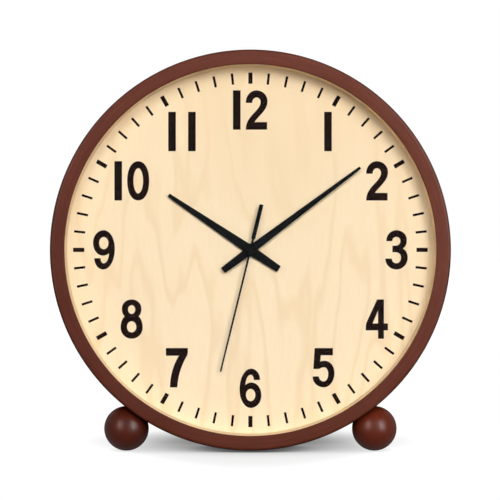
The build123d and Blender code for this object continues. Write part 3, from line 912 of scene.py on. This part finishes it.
@dataclass
class Bench:
    """Where finished pieces are put together with the frame."""

    axes: ClockAxes
    merge_distance: float = 2e-6
    flat_angle: float = math.radians(2)
    sharp_angle: float = math.radians(35)
    flat_from: float = 2e-4

    def fit(self, mesh: Mesh, finish: Finish, body: str, slot: str, replaces: Sequence[str] = (),
            crease: float = 35.0) -> None:
        """Carries a drawn piece to its place and hands it to its body.

        Args:
            mesh: The piece, in the clock's own axes.
            finish: Its surface.
            body: The body that it rides on.
            slot: The record's material slot that it belongs to; not used.
            replaces: The CAD nodes that it stands for.
            crease: The angle past which two faces meet in a sharp edge.
        """
        mesh.transform(self.axes.place)
        mesh.materials.clear()
        mesh.materials.append(finish.material(self.axes))
        for polygon in mesh.polygons:
            polygon.use_smooth = True
            polygon.material_index = 0
        mesh.set_sharp_from_angle(angle=math.radians(crease))
        piece = bpy.data.objects.new(mesh.name, mesh)
        bpy.context.scene.collection.objects.link(piece)
        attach(piece, body)
        if replaces:
            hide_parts(*replaces)
        LOG.info("%s: %d faces on %s", piece.name, len(mesh.polygons), body)

    def trim(self, node: str, finish: Finish, body: str, slot: str, edge: float) -> None:
        """Stands a copy of a CAD node with broken edges in the node's place.

        Args:
            node: The CAD node.
            finish: Its surface.
            body: The body that it rides on.
            slot: The record's material slot that it belongs to.
            edge: How far the sharp edges are rounded.
        """
        shape = bmesh.new()
        shape.from_mesh(self.axes.nodes[node].data)
        bmesh.ops.remove_doubles(shape, verts=shape.verts, dist=self.merge_distance)
        bmesh.ops.dissolve_limit(shape, angle_limit=self.flat_angle, verts=shape.verts, edges=shape.edges)
        folds = (e for e in shape.edges if len(e.link_faces) == 2)
        sharp = [e for e in folds if e.calc_face_angle() > self.sharp_angle]
        bmesh.ops.bevel(
            shape, geom=sharp, offset=edge, segments=2, profile=0.5, affect="EDGES", clamp_overlap=True
        )
        shape.transform(self.axes.place.inverted())
        mesh = bpy.data.meshes.new(f"{node}_trimmed")
        shape.to_mesh(mesh)
        shape.free()
        self.fit(mesh, finish, body, slot, [node])
        for polygon in mesh.polygons:
            polygon.use_smooth = polygon.area < self.flat_from

    def dress(self, node: str, finish: Finish) -> None:
        """Gives a CAD node its surface and leaves its shape alone.

        Args:
            node: The CAD node.
            finish: Its surface.
        """
        mesh = self.axes.nodes[node].data
        mesh.materials.clear()
        mesh.materials.append(finish.material(self.axes))
        LOG.info("%s: dressed as %s", node, finish.name)


# --- case and feet


@dataclass
class CaseRing:
    """The turned wooden ring that everything stands in."""

    bench: Bench
    bore_gap: float = 0.2 * MM
    sanded: float = 0.003 * MM
    front_round: float = 1.6 * MM
    lip_round: float = 0.5 * MM
    rear_round: float = 0.9 * MM
    bore_round: float = 0.3 * MM
    segments: int = 288

    def build(self) -> None:
        """Turns the ring from its section."""
        axes = self.bench.axes
        ring, glass = axes.span("case_ring"), axes.span("glass_lens")
        bore = glass.outer + self.bore_gap
        front, outer = -self.sanded, ring.outer - self.sanded
        corners = (
            (ring.inner, front, self.lip_round),
            (ring.inner, glass.front, 0.0),
            (bore, glass.front, 0.0),
            (bore, ring.back, self.bore_round),
            (outer, ring.back, self.rear_round),
            (outer, front, self.front_round),
        )
        mesh = Drawing().lathe(soften(corners, 8), self.segments).into_mesh("wooden_ring")
        self.bench.fit(mesh, Finishes.case, "clock", "case_wood", ["case_ring"])


@dataclass
class BallFeet:
    """Two turned balls, hollowed to seat on the ring's side."""

    bench: Bench
    segments: int = 96
    rings: int = 72

    def build(self) -> None:
        """Turns both balls and hollows their seats."""
        axes = self.bench.axes
        low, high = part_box("ball_feet")
        radius = (high.y - low.y) / 2
        centre = Vector((high.x - radius, (low.y + high.y) / 2, low.z + radius))
        home = axes.place.inverted() @ centre
        ring_radius = axes.span("case_ring").outer
        half_turns = (math.pi * i / self.rings for i in range(self.rings + 1))
        profile = [(radius * math.sin(t), radius * math.cos(t)) for t in half_turns]
        both = Drawing()
        for side in (-1, 1):
            ball = Drawing().lathe(profile, self.segments, closed=False)
            outwards = Vector((side * home.x, home.y, 0.0)).normalized()
            ball.move(outwards.to_track_quat("Z", "Y").to_matrix().to_4x4())
            ball.move(Matrix.Translation((side * home.x, home.y, home.z)))
            for vertex in ball.mesh.verts:
                reach = math.hypot(vertex.co.x, vertex.co.y)
                if reach < ring_radius:
                    vertex.co.x *= ring_radius / reach
                    vertex.co.y *= ring_radius / reach
            half = ball.into_mesh(f"ball{side}")
            both.mesh.from_mesh(half)
            bpy.data.meshes.remove(half)
        mesh = both.into_mesh("wooden_balls")
        self.bench.fit(mesh, Finishes.foot, "clock", "foot_wood", ["ball_feet"], crease=60.0)
        self.bench.dress("foot_screws", Finishes.zinc)


# --- glass and dial


@dataclass
class Glazing:
    """The glass and the pale ring that holds it off the dial."""

    bench: Bench
    glass_edge: float = 0.25 * MM
    spacer_edge: float = 0.15 * MM

    def build(self) -> None:
        """Grinds the pane and turns the spacer."""
        axes = self.bench.axes
        glass, spacer = axes.span("glass_lens"), axes.span("spacer_ring")
        pane = (
            (0.0, glass.back, 0.0),
            (glass.outer, glass.back, self.glass_edge),
            (glass.outer, glass.front, self.glass_edge),
            (0.0, glass.front, 0.0),
        )
        mesh = Drawing().lathe(soften(pane, 3), 192, closed=False).into_mesh("glass_pane")
        self.bench.fit(mesh, Finishes.glass, "clock", "clear_glass", ["glass_lens"])
        section = (
            (axes.span("case_ring").inner, spacer.front, self.spacer_edge),
            (spacer.inner, spacer.back, self.spacer_edge),
            (spacer.outer, spacer.back, 0.0),
            (spacer.outer, spacer.front, 0.0),
        )
        mesh = Drawing().lathe(soften(section, 4)).into_mesh("pale_spacer")
        self.bench.fit(mesh, Finishes.card, "clock", "cream_card", ["spacer_ring"])


class Pen:
    """Draws the outline of a figure, a hundred units high."""

    def __init__(self, x: float, y: float, fullness: float = 0.56) -> None:
        """Sets the pen down, and sets how square its quarter curves are."""
        self.points: Outline = [(x, y)]
        self.fullness = fullness

    def line(self, *corners: Point) -> "Pen":
        """Straight on to each corner."""
        self.points += corners
        return self

    def curve(self, first: Point, second: Point, end: Point, steps: int = 10) -> "Pen":
        """A free curve.

        Args:
            first: What it leaves towards.
            second: What it arrives from.
            end: Where it ends.
            steps: How many chords it has.

        Returns:
            This pen.
        """
        guides = (self.points[-1], first, second, end)
        for t in (step / steps for step in range(1, steps + 1)):
            shares = ((1 - t) ** 3, 3 * t * (1 - t) ** 2, 3 * t * t * (1 - t), t**3)
            self.points.append(tuple(sum(s * p[i] for s, p in zip(shares, guides)) for i in (0, 1)))
        return self

    def level(self, x: float, y: float) -> "Pen":
        """A quarter curve that leaves level and arrives upright."""
        (x0, y0), k = self.points[-1], self.fullness
        return self.curve((x0 + k * (x - x0), y0), (x, y - k * (y - y0)), (x, y))

    def upright(self, x: float, y: float) -> "Pen":
        """A quarter curve that leaves upright and arrives level."""
        (x0, y0), k = self.points[-1], self.fullness
        return self.curve((x0, y0 + k * (y - y0)), (x - k * (x - x0), y), (x, y))


class Figures:
    """Bold narrow figures, each a list of outlines with the outside first."""

    width = 55.6
    bar = 18.2

    def of(self, digit: str) -> list[Outline]:
        """A figure with its outside counter-clockwise and its holes clockwise.

        Args:
            digit: Which figure.

        Returns:
            Its outlines.
        """
        low = (self.nought, self.one, self.two, self.three, self.four)
        high = (self.five, self.six, self.seven, self.eight, self.nine)
        drawn = (low + high)[int(digit)]()
        return [line if (area(line) > 0) == (i == 0) else line[::-1] for i, line in enumerate(drawn)]

    def one(self) -> list[Outline]:
        """A plain bar."""
        return [[(0, 0), (self.bar, 0), (self.bar, 100), (0, 100)]]

    def two(self) -> list[Outline]:
        """A hook, a slanting neck and a flat base.

        Returns:
            Its outlines.
        """
        pen = Pen(0, 69).upright(27, 100).level(54.9, 72.4)
        pen.curve((54.9, 50), (34, 38), (20.5, 18.2)).line((53.8, 18.2), (53.8, 0), (0, 0))
        pen.curve((0, 36), (38.4, 47), (38.4, 70.5)).upright(27.2, 83).level(15.4, 69)
        return [pen.points]

    def three(self) -> list[Outline]:
        """Two bowls that meet in a short bar.

        Returns:
            Its outlines.
        """
        pen = Pen(2.4, 73.1).upright(28.1, 100).level(53.9, 75.9)
        pen.curve((53.9, 64), (50, 57), (42.6, 53.6)).curve((51, 50), (56.3, 41), (56.3, 30.2))
        pen.upright(28.1, 0).level(0, 26.8).line((15.4, 26.8)).upright(28.1, 14.8).level(40.4, 30.2)
        pen.upright(26.4, 44.6).line((18.2, 44.6), (18.2, 60.1), (25.5, 60.1)).level(38.8, 72.4)
        pen.upright(28.1, 84.1).level(16.5, 73.1)
        return [pen.points]

    def four(self) -> list[Outline]:
        """A slanting stroke, a crossbar and a stem.

        Returns:
            Its outlines.
        """
        pen = Pen(29.2, 100).line((0.5, 37.5), (0, 21.6), (31.9, 21.6), (31.9, 0), (45.7, 0), (45.7, 21.6))
        pen.line((56, 21.6), (56, 38.1), (45.7, 38.1), (45.7, 100))
        return [pen.points, [(31.9, 74.8), (31.9, 38.1), (16.1, 38.1)]]

    def five(self) -> list[Outline]:
        """A flag over a bowl.

        Returns:
            Its outlines.
        """
        pen = Pen(5.1, 100).line((50.8, 100), (50.8, 82.7), (19.9, 82.7), (18.2, 64.5))
        pen.curve((22, 66.5), (26, 67.3), (30.2, 67.3)).level(54.9, 37.1).upright(28.1, 0)
        pen.level(0, 26.8).line((14.8, 26.8)).upright(28.1, 14.1).level(40.2, 33.6)
        pen.upright(29.2, 51.8).curve((24, 51.8), (19, 50), (16.5, 47.4)).line((1.7, 47.4))
        return [pen.points]

    def six(self) -> list[Outline]:
        """A long hook closed by a bowl.

        Returns:
            Its outlines.
        """
        pen = Pen(51.5, 72.1).upright(29.2, 100).level(0, 47).upright(28.1, 0).level(54.9, 31.6)
        pen.upright(30.2, 64.2).curve((23, 64.2), (17, 61), (13.7, 56.6)).upright(28.1, 85.5)
        pen.level(36.7, 72.1)
        return [pen.points, ellipse(27.9, 32.6, 12.7, 16.5)]

    def seven(self) -> list[Outline]:
        """A flat top over a curved leg.

        Returns:
            Its outlines.
        """
        pen = Pen(0, 100).line((55.3, 100), (55.3, 85.3)).curve((44, 65), (31, 40), (28.1, 0))
        pen.line((10.3, 0)).curve((12, 38), (22, 62), (34.2, 81.7)).line((0, 81.7))
        return [pen.points]

    def eight(self) -> list[Outline]:
        """A small bowl on a larger one.

        Returns:
            Its outlines.
        """
        pen = Pen(11, 57).curve((6, 61), (3.1, 68), (3.1, 76.9)).upright(27.8, 100).level(52.4, 76.9)
        pen.curve((52.4, 68), (49.6, 61), (44.6, 57)).curve((51.6, 52), (55.6, 40), (55.6, 28.2))
        pen.upright(27.8, 0).level(0, 28.2).curve((0, 40), (4, 52), (11, 57))
        return [pen.points[:-1], ellipse(27.8, 74.5, 10, 12), ellipse(27.8, 29.9, 12.7, 15.1)]

    def nine(self) -> list[Outline]:
        """A six turned upside down."""
        return [[(self.width - x, 100 - y) for x, y in outline] for outline in self.six()]

    def nought(self) -> list[Outline]:
        """A tall ring."""
        pen = Pen(0, 50, 0.6).upright(27.8, 100).level(55.6, 50).upright(27.8, 0).level(0, 50)
        return [pen.points[:-1], ellipse(27.8, 50, 13.2, 33.1)]


@dataclass
class Dial:
    """The veneered dial, its board and its print; the hours' places are in mm, from one to twelve."""

    bench: Bench
    print_depth: float = 0.03 * MM
    print_seat: float = 0.01 * MM
    print_rise: float = 0.1 * MM
    mark_inner: float = 83.5 * MM
    mark_outer: float = 89.15 * MM
    hour_mark: float = 2.1 * MM
    minute_mark: float = 1.22 * MM
    figure_height: float = 19.5 * MM
    ink_spread: float = 0.14 * MM
    pair_step: float = 32.9
    eleven_step: float = 51.2
    places: tuple[Point, ...] = (
        (39.0, 59.5), (63.75, 34.7), (73.4, 0.0), (63.5, -34.8), (36.85, -59.25), (0.1, -69.6),
        (-36.95, -59.25), (-59.7, -34.8), (-73.7, 0.0), (-59.6, 34.7), (-34.4, 59.5), (0.0, 70.3),
    )

    def build(self) -> None:
        """Lays the veneer and prints the marks and figures on it."""
        face = self.bench.axes.span("dial_face")
        section = [
            (face.inner, face.back),
            (face.outer, face.back),
            (face.outer, face.front),
            (face.inner, face.front),
        ]
        mesh = Drawing().lathe(section).into_mesh("veneer_dial")
        self.bench.fit(mesh, Finishes.dial, "clock", "dial_wood", ["dial_face"])
        self.bench.dress("dial_board", Finishes.fibreboard)
        self.back = face.front - self.print_seat
        self.front = face.front + self.print_depth
        self.marks("hour_marks", self.hour_mark, False)
        self.marks("minute_marks", self.minute_mark, True)
        self.figures()

    def marks(self, name: str, width: float, between: bool) -> None:
        """Prints a set of marks.

        Args:
            name: The piece's name.
            width: How wide a mark is.
            between: True for the marks between the hours.
        """
        half, middle = width / 2, (self.mark_inner + self.mark_outer) / 2
        reach = (self.mark_outer - self.mark_inner) / 2
        outline = [(-half, -reach), (half, -reach), (half, reach), (-half, reach)]
        mark = Drawing().plate([outline], self.back, self.front).into_mesh(name)
        ring = RingOfCopies(60, middle, every=5, left_out=between)
        mesh = ring.spread(mark, Finishes.ink.material(self.bench.axes))
        mesh.transform(Matrix.Translation((0.0, self.print_rise, 0.0)))
        self.bench.fit(mesh, Finishes.ink, "clock", "dial_wood")

    def figures(self) -> None:
        """Prints the twelve hours."""
        shapes, drawing, unit = Figures(), Drawing(), self.figure_height / 100
        for hour, (x, y) in enumerate(self.places, 1):
            text = str(hour)
            step = (self.eleven_step if text == "11" else self.pair_step) * (len(text) - 1)
            last = shapes.bar if text[-1] == "1" else shapes.width
            left = x * MM - (step + last) * unit / 2
            low = y * MM - self.figure_height / 2
            for place, digit in enumerate(text):
                start = left + step * place * unit
                lines = shapes.of(digit)
                placed = [[(start + a * unit, low + b * unit) for a, b in line] for line in lines]
                drawing.plate([inset(line, -self.ink_spread) for line in placed], self.back, self.front)
        mesh = drawing.move(Matrix.Translation((0.0, self.print_rise, 0.0))).into_mesh("hour_figures")
        self.bench.fit(mesh, Finishes.ink, "clock", "dial_wood")


# --- hands


@dataclass
class BarHand:
    """A flat hand that narrows towards its ends, with a round hub on its tube."""

    bench: Bench
    node: str
    body: str
    angle: float
    reach: float
    tail: float
    widths: tuple[float, float, float]
    hub_radius: float = 3.3 * MM
    thickness: float = 0.4 * MM
    sunk: float = 0.03 * MM
    collet_wall: float = 0.7 * MM
    corner: float = 0.08 * MM
    edge: float = 0.09 * MM

    def build(self) -> None:
        """Cuts the blade and presses it on its hub."""
        span = self.bench.axes.span(self.node)
        front, tube = span.front, span.inner
        blade_back = front - self.thickness
        tail, hub, tip = (width / 2 for width in self.widths)
        half = ((tail, -self.tail, self.corner), (hub, 0.0, 0.0), (tip, self.reach, self.corner))
        collet = tube + self.collet_wall
        boss = (
            (tube, span.back, 0.0),
            (collet, span.back, 0.1 * MM),
            (collet, blade_back, 0.0),
            (self.hub_radius, blade_back, self.edge),
            (self.hub_radius, front, self.edge * 1.4),
            (tube, front, 0.05 * MM),
        )
        drawing = Drawing()
        drawing.plate([soften(both_sides(half), 3)], blade_back + self.sunk, front - self.sunk, self.edge)
        drawing.lathe(soften(boss, 4), 64).move(Matrix.Rotation(-math.radians(self.angle), 4, "Z"))
        mesh = drawing.into_mesh(f"{self.node}_blade")
        self.bench.fit(mesh, Finishes.hands, self.body, "hand_black", [self.node], crease=50.0)


@dataclass
class SweepHand:
    """The second hand: a needle, a counterweight and a turned cap."""

    bench: Bench
    angle: float = 193.8
    reach: float = 62.8 * MM
    tail: float = 23.5 * MM
    neck_end: float = 5.7 * MM
    neck: float = 1.1 * MM
    needle: float = 1.0 * MM
    tip: float = 0.8 * MM
    weight: float = 2.0 * MM
    thickness: float = 0.4 * MM
    corner: float = 0.1 * MM
    shoulder: float = 0.22 * MM
    cap_radius: float = 1.75 * MM
    groove: float = 0.07 * MM

    def build(self) -> None:
        """Cuts the needle and turns its cap."""
        span = self.bench.axes.span("second_hand")
        middle = (span.back + span.front) / 2
        thin, tip, neck, wide = (size / 2 for size in (self.needle, self.tip, self.neck, self.weight))
        half = (
            (wide, -self.tail, self.corner),
            (wide, -self.neck_end, self.shoulder),
            (neck, -self.neck_end, self.corner),
            (neck, 0.0, 0.0),
            (thin, 0.0, 0.0),
            (tip, self.reach, 0.0),
        )
        r, top = self.cap_radius, span.front
        cap = (
            (0.0, span.back, 0.0),
            (r, span.back, self.corner),
            (r, top, self.shoulder),
            (r * 0.66, top, 0.0),
            (r * 0.61, top - self.groove, 0.0),
            (r * 0.54, top - self.groove, 0.0),
            (r * 0.49, top, 0.0),
            (0.0, top, 0.0),
        )
        drawing = Drawing().plate([soften(both_sides(half), 4)], middle, middle + self.thickness, 0.06 * MM)
        drawing.lathe(soften(cap, 4), 64, closed=False)
        drawing.move(Matrix.Rotation(-math.radians(self.angle), 4, "Z"))
        mesh = drawing.into_mesh("second_hand_needle")
        self.bench.fit(
            mesh, Finishes.hands, "second_hand_and_wheel", "hand_black", ["second_hand"], crease=50.0
        )


@dataclass
class HandSet:
    """The three hands."""

    bench: Bench

    def build(self) -> None:
        """Makes them from the dial outwards."""
        BarHand(
            self.bench, "hour_hand", "hour_hand_and_wheel", 303.9, 49.5 * MM, 17.2 * MM,
            (3.5 * MM, 4.9 * MM, 1.9 * MM),
        ).build()
        BarHand(
            self.bench, "minute_hand", "minute_hand_and_wheel", 53.1, 69.0 * MM, 17.1 * MM,
            (3.35 * MM, 4.25 * MM, 1.4 * MM),
        ).build()
        SweepHand(self.bench).build()


# --- back


@dataclass
class Back:
    """The backing ring, the cover and its screws, drawn in shares of their heads and their pitch."""

    bench: Bench
    ring_edge: float = 0.15 * MM
    cover_edge: float = 0.35 * MM
    screw_count: int = 4
    slot_reach: float = 1.7 * MM
    slot_half: float = 0.38 * MM
    slot_depth: float = 0.9 * MM
    slot_taper: float = 0.72
    thread_pitch: float = 0.7 * MM
    thread_root: float = 0.8
    thread_rise: Point = (0.35, 0.85)
    thread_stop: float = 1.2 * MM
    point_root: float = 0.78
    point_length: float = 0.9 * MM
    dome: tuple[Point, ...] = ((0.0, 0.0), (0.0, 0.45), (0.04, 0.72), (0.13, 0.90), (0.26, 1.0))

    def build(self) -> None:
        """Closes the back."""
        self.bench.trim("backing_ring", Finishes.fibreboard, "clock", "board", self.ring_edge)
        self.bench.trim("back_cover", Finishes.hardboard, "clock", "cover_board", self.cover_edge)
        self.screws()

    def cross(self) -> Outline:
        """The outline of a cross recess, counter-clockwise.

        Returns:
            Its twelve points.
        """
        reach, half = self.slot_reach, self.slot_half
        arm = [(half, half), (half, reach), (-half, reach)]
        points: Outline = []
        for _ in range(4):
            points += arm
            arm = [(-y, x) for x, y in arm]
        return points

    def screws(self) -> None:
        """Turns one pan-head screw with a cross recess and sets the ring of them out."""
        axes = self.bench.axes
        span, seat = axes.span("cover_screws"), axes.span("back_cover").back
        back, front = span.back, span.front
        head, height = (span.outer - span.inner) / 2, seat - back
        shank = head / 2
        drawing = Drawing()
        rim, cross = ellipse(0.0, 0.0, head, head, 48), self.cross()
        drawing.skin([drawing.loop(inset(rim, head * d), seat - height * rise) for d, rise in self.dome])
        drawing.cap([inset(rim, head * self.dome[-1][0]), cross[::-1]], back)
        floor = back + self.slot_depth
        narrow = [(x * self.slot_taper, y * self.slot_taper) for x, y in cross]
        drawing.skin([drawing.loop(cross, back), drawing.loop(narrow, floor)])
        drawing.cap([narrow], floor)
        drawing.cap([rim, ellipse(0.0, 0.0, shank, shank, 32)[::-1]], seat)
        pitch, thread = self.thread_pitch, [(shank, seat)]
        root, crest = self.thread_rise
        for turn in range(int((front - seat - self.thread_stop) / pitch)):
            start = seat + turn * pitch
            thread += [(shank * self.thread_root, start + pitch * root), (shank, start + pitch * crest)]
        thread += [(shank * self.point_root, front - self.point_length), (0.0, front)]
        mesh = drawing.lathe(thread, 32, closed=False).into_mesh("pan_head_screws")
        ring = RingOfCopies(self.screw_count, (span.inner + span.outer) / 2, math.pi / self.screw_count)
        spread = ring.spread(mesh, Finishes.zinc.material(axes))
        self.bench.fit(spread, Finishes.zinc, "clock", "screw_steel", ["cover_screws"], crease=40.0)


# --- movement


@dataclass
class Movement:
    """The boxed quartz movement with its cell, train and setting knob."""

    bench: Bench
    case_edge: float = 0.3 * MM
    knob_edge: float = 0.25 * MM
    cell_edge: float = 0.2 * MM

    def build(self) -> None:
        """Dresses what is inside and trims what shows."""
        plain = {
            Finishes.black_plastic: ("front_case",),
            Finishes.white_plastic: (
                "gear_plate", "hour_wheel", "centre_wheel", "minute_wheel", "third_wheel",
                "second_wheel", "intermediate_wheel", "rotor_pinion",
            ),
            Finishes.ferrite: ("rotor_magnet",),
            Finishes.iron: ("stator", "coil_core"),
            Finishes.red_plastic: ("coil_bobbin",),
            Finishes.copper: ("coil_winding",),
            Finishes.circuit: ("circuit_board",),
            Finishes.nickel: ("quartz_crystal", "negative_contact", "positive_contact"),
            Finishes.resin: ("clock_chip",),
            Finishes.brass: ("threaded_bush", "bush_nut"),
            Finishes.zinc: ("bush_washer",),
        }
        for finish, nodes in plain.items():
            for node in nodes:
                self.bench.dress(node, finish)
        self.bench.trim("rear_case", Finishes.black_plastic, "clock", "movement_black", self.case_edge)
        self.bench.trim("setting_knob", Finishes.knob, "setting_arbor", "knob_black", self.knob_edge)
        self.bench.trim("battery", Finishes.jacket, "cell", "cell_jacket", self.cell_edge)


# --- studio


class Glow(Enum):
    """What a light is for."""

    MATT = "lights surfaces"
    GLOSS = "shines in varnish and metal"


def upright(behind: Vector) -> Matrix:
    """Turns something to look along -Z of its own, away from a direction, with its top up."""
    beside = Vector((0, 1, 0)).cross(behind).normalized()
    return Matrix((beside, behind.cross(beside), behind)).transposed().to_4x4()


@dataclass(frozen=True)
class SoftBox:
    """A rectangular soft light aimed at the dial, from a direction in the clock's axes."""

    name: str
    aim: tuple[float, float, float]
    width_angle: float
    height_angle: float
    strength: float
    glow: Glow = Glow.MATT
    distance: float = 3.0

    def hang(self, axes: ClockAxes) -> None:
        """Hangs the light up, so that a white card facing it shows at its strength.

        Args:
            axes: The clock's axes, which it is aimed by.
        """
        aim = Vector(self.aim).normalized()
        data = bpy.data.lights.new(self.name, "AREA")
        data.shape = "RECTANGLE"
        data.size = 2 * self.distance * math.tan(math.radians(self.width_angle / 2))
        data.size_y = 2 * self.distance * math.tan(math.radians(self.height_angle / 2))
        data.energy = self.strength * 4 * math.pi * self.distance**2
        lamp = bpy.data.objects.new(self.name, data)
        lamp.matrix_world = axes.place @ Matrix.Translation(aim * self.distance) @ upright(aim)
        lamp.visible_diffuse = self.glow is Glow.MATT
        lamp.visible_glossy = self.glow is Glow.GLOSS
        bpy.context.scene.collection.objects.link(lamp)


@dataclass
class Studio:
    """Floor, world, lights and camera."""

    axes: ClockAxes
    image_side: float = 500.0
    sensor: float = 36.0
    camera_distance: float = 1.5
    metres_per_pixel: float = 0.4981 * MM
    axis_pixel: Point = (250.4, 250.05)
    ambient: float = 0.045
    floor_reach: float = 3.0
    floor_bounce: float = 0.05
    # Painted shadow on the floor: how far the contact shade reaches, how it fades to the sides, where the
    # soft blob behind the clock sits and how dark it gets.
    contact_reach: float = 100 * MM
    shade_width: float = 100 * MM
    cast_back: float = 65 * MM
    cast_reach: Point = (15 * MM, 95 * MM)
    cast: float = 0.2
    shades: tuple[Point, ...] = (
        (0.0, 0.10), (0.04, 0.17), (0.12, 0.43), (0.2, 0.64),
        (0.35, 0.75), (0.6, 0.80), (0.85, 0.88), (1.0, 1.0),
    )
    lights: tuple[SoftBox, ...] = (
        SoftBox("key_light", (0.33, 0.08, 1.0), 18, 29, 0.464),
        SoftBox("side_light", (0.66, 0.33, 1.0), 12, 28, 0.043),
        SoftBox("fill_light", (-0.46, 0.09, 1.0), 13, 29, 0.13),
        SoftBox("top_light", (0.04, 0.39, 1.0), 36, 15, 0.319),
        SoftBox("high_light", (0.10, 0.72, 1.0), 16, 12, 0.065),
        SoftBox("back_light", (-0.35, 0.45, -1.0), 32, 32, 0.55),
        SoftBox("key_card", (0.84, 0.27, 1.0), 20, 44, 2.9, Glow.GLOSS),
        SoftBox("fill_card", (-0.70, 0.40, 1.0), 18, 36, 1.2, Glow.GLOSS),
    )

    def build(self) -> None:
        """Sets the studio up."""
        self.floor()
        self.world()
        for light in self.lights:
            light.hang(self.axes)
        self.camera()

    def floor(self) -> None:
        """Lays a pale floor, white to the eye but for the clock's shadow, which is painted into its glow.
        """
        mesh = bpy.data.meshes.new("floor")
        r = self.floor_reach
        mesh.from_pydata([(-r, -r, 0), (r, -r, 0), (r, r, 0), (-r, r, 0)], [], [(0, 1, 2, 3)])
        floor = bpy.data.objects.new("floor", mesh)
        bpy.context.scene.collection.objects.link(floor)
        paint = Paint("pale_floor", self.axes)
        place = paint.add("ShaderNodeTexCoord", out="Object")
        # Painted shadow: the glow is dimmed by ambient occlusion near the clock, less so to the sides, and
        # by a soft blob behind it.
        aside = paint.math("DIVIDE", paint.parts(place)[0], self.shade_width)
        near = paint.add("ShaderNodeAmbientOcclusion", {"Distance": self.contact_reach}, "AO", samples=32)
        away = paint.length("DISTANCE", place, (0.0, self.axes.origin.y + self.cast_back, 0.0))
        cast = paint.spread(away, self.cast, 1.0, *self.cast_reach, interpolation_type="SMOOTHSTEP")
        open_to_light = paint.math("MULTIPLY_ADD", aside, aside, near)
        shade = paint.ramp(open_to_light, *((stop, (share, share, share)) for stop, share in self.shades))
        level = paint.math("MULTIPLY", shade, cast)
        paint.set(
            Base_Color=(self.floor_bounce, self.floor_bounce, self.floor_bounce, 1.0),
            Roughness=1.0,
            Specular_IOR_Level=0.0,
            Emission_Color=(1.0, 1.0, 1.0, 1.0),
            Emission_Strength=paint.math("MULTIPLY", level, looked_at(paint.tree)),
        )
        mesh.materials.append(paint.material)

    def world(self) -> None:
        """Even light from all round, and white where it is looked at."""
        world = bpy.data.worlds.new("studio")
        world.use_nodes = True
        tree = world.node_tree
        inputs = {"Value": looked_at(tree), "To Min": self.ambient, "To Max": 1.0}
        background = tree.nodes["Background"].inputs
        feed(tree, background["Color"], (1, 1, 1, 1))
        feed(tree, background["Strength"], add_node(tree, "ShaderNodeMapRange", inputs).outputs[0])
        bpy.context.scene.world = world

    def camera(self) -> None:
        """Looks at the dial along the clock's axis."""
        data = bpy.data.cameras.new("camera")
        data.sensor_width = self.sensor
        data.lens = self.sensor * self.camera_distance / (self.metres_per_pixel * self.image_side)
        data.clip_start, data.clip_end = 0.05, 50.0
        camera = bpy.data.objects.new("camera", data)
        middle = self.image_side / 2
        right = (middle - self.axis_pixel[0]) * self.metres_per_pixel
        up = (self.axis_pixel[1] - middle) * self.metres_per_pixel
        stand = Vector((0.0, 0.0, self.camera_distance))
        look = upright((stand - Vector((right, up, 0.0))).normalized())
        camera.matrix_world = self.axes.place @ Matrix.Translation(stand) @ look
        bpy.context.scene.collection.objects.link(camera)
        bpy.context.scene.camera = camera


# --- the whole


def main() -> None:
    """Builds the clock round its frame."""
    logging.basicConfig(level=logging.INFO, format="%(name)s: %(message)s")
    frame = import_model()
    axes = ClockAxes.of(frame)
    bench = Bench(axes)
    for assembly in (CaseRing, BallFeet, Glazing, Dial, HandSet, Back, Movement):
        assembly(bench).build()
        LOG.info("%s done", assembly.__name__)
    Studio(axes).build()
    bpy.context.scene.view_settings.view_transform = "Standard"


if __name__ == "__main__":
    main()
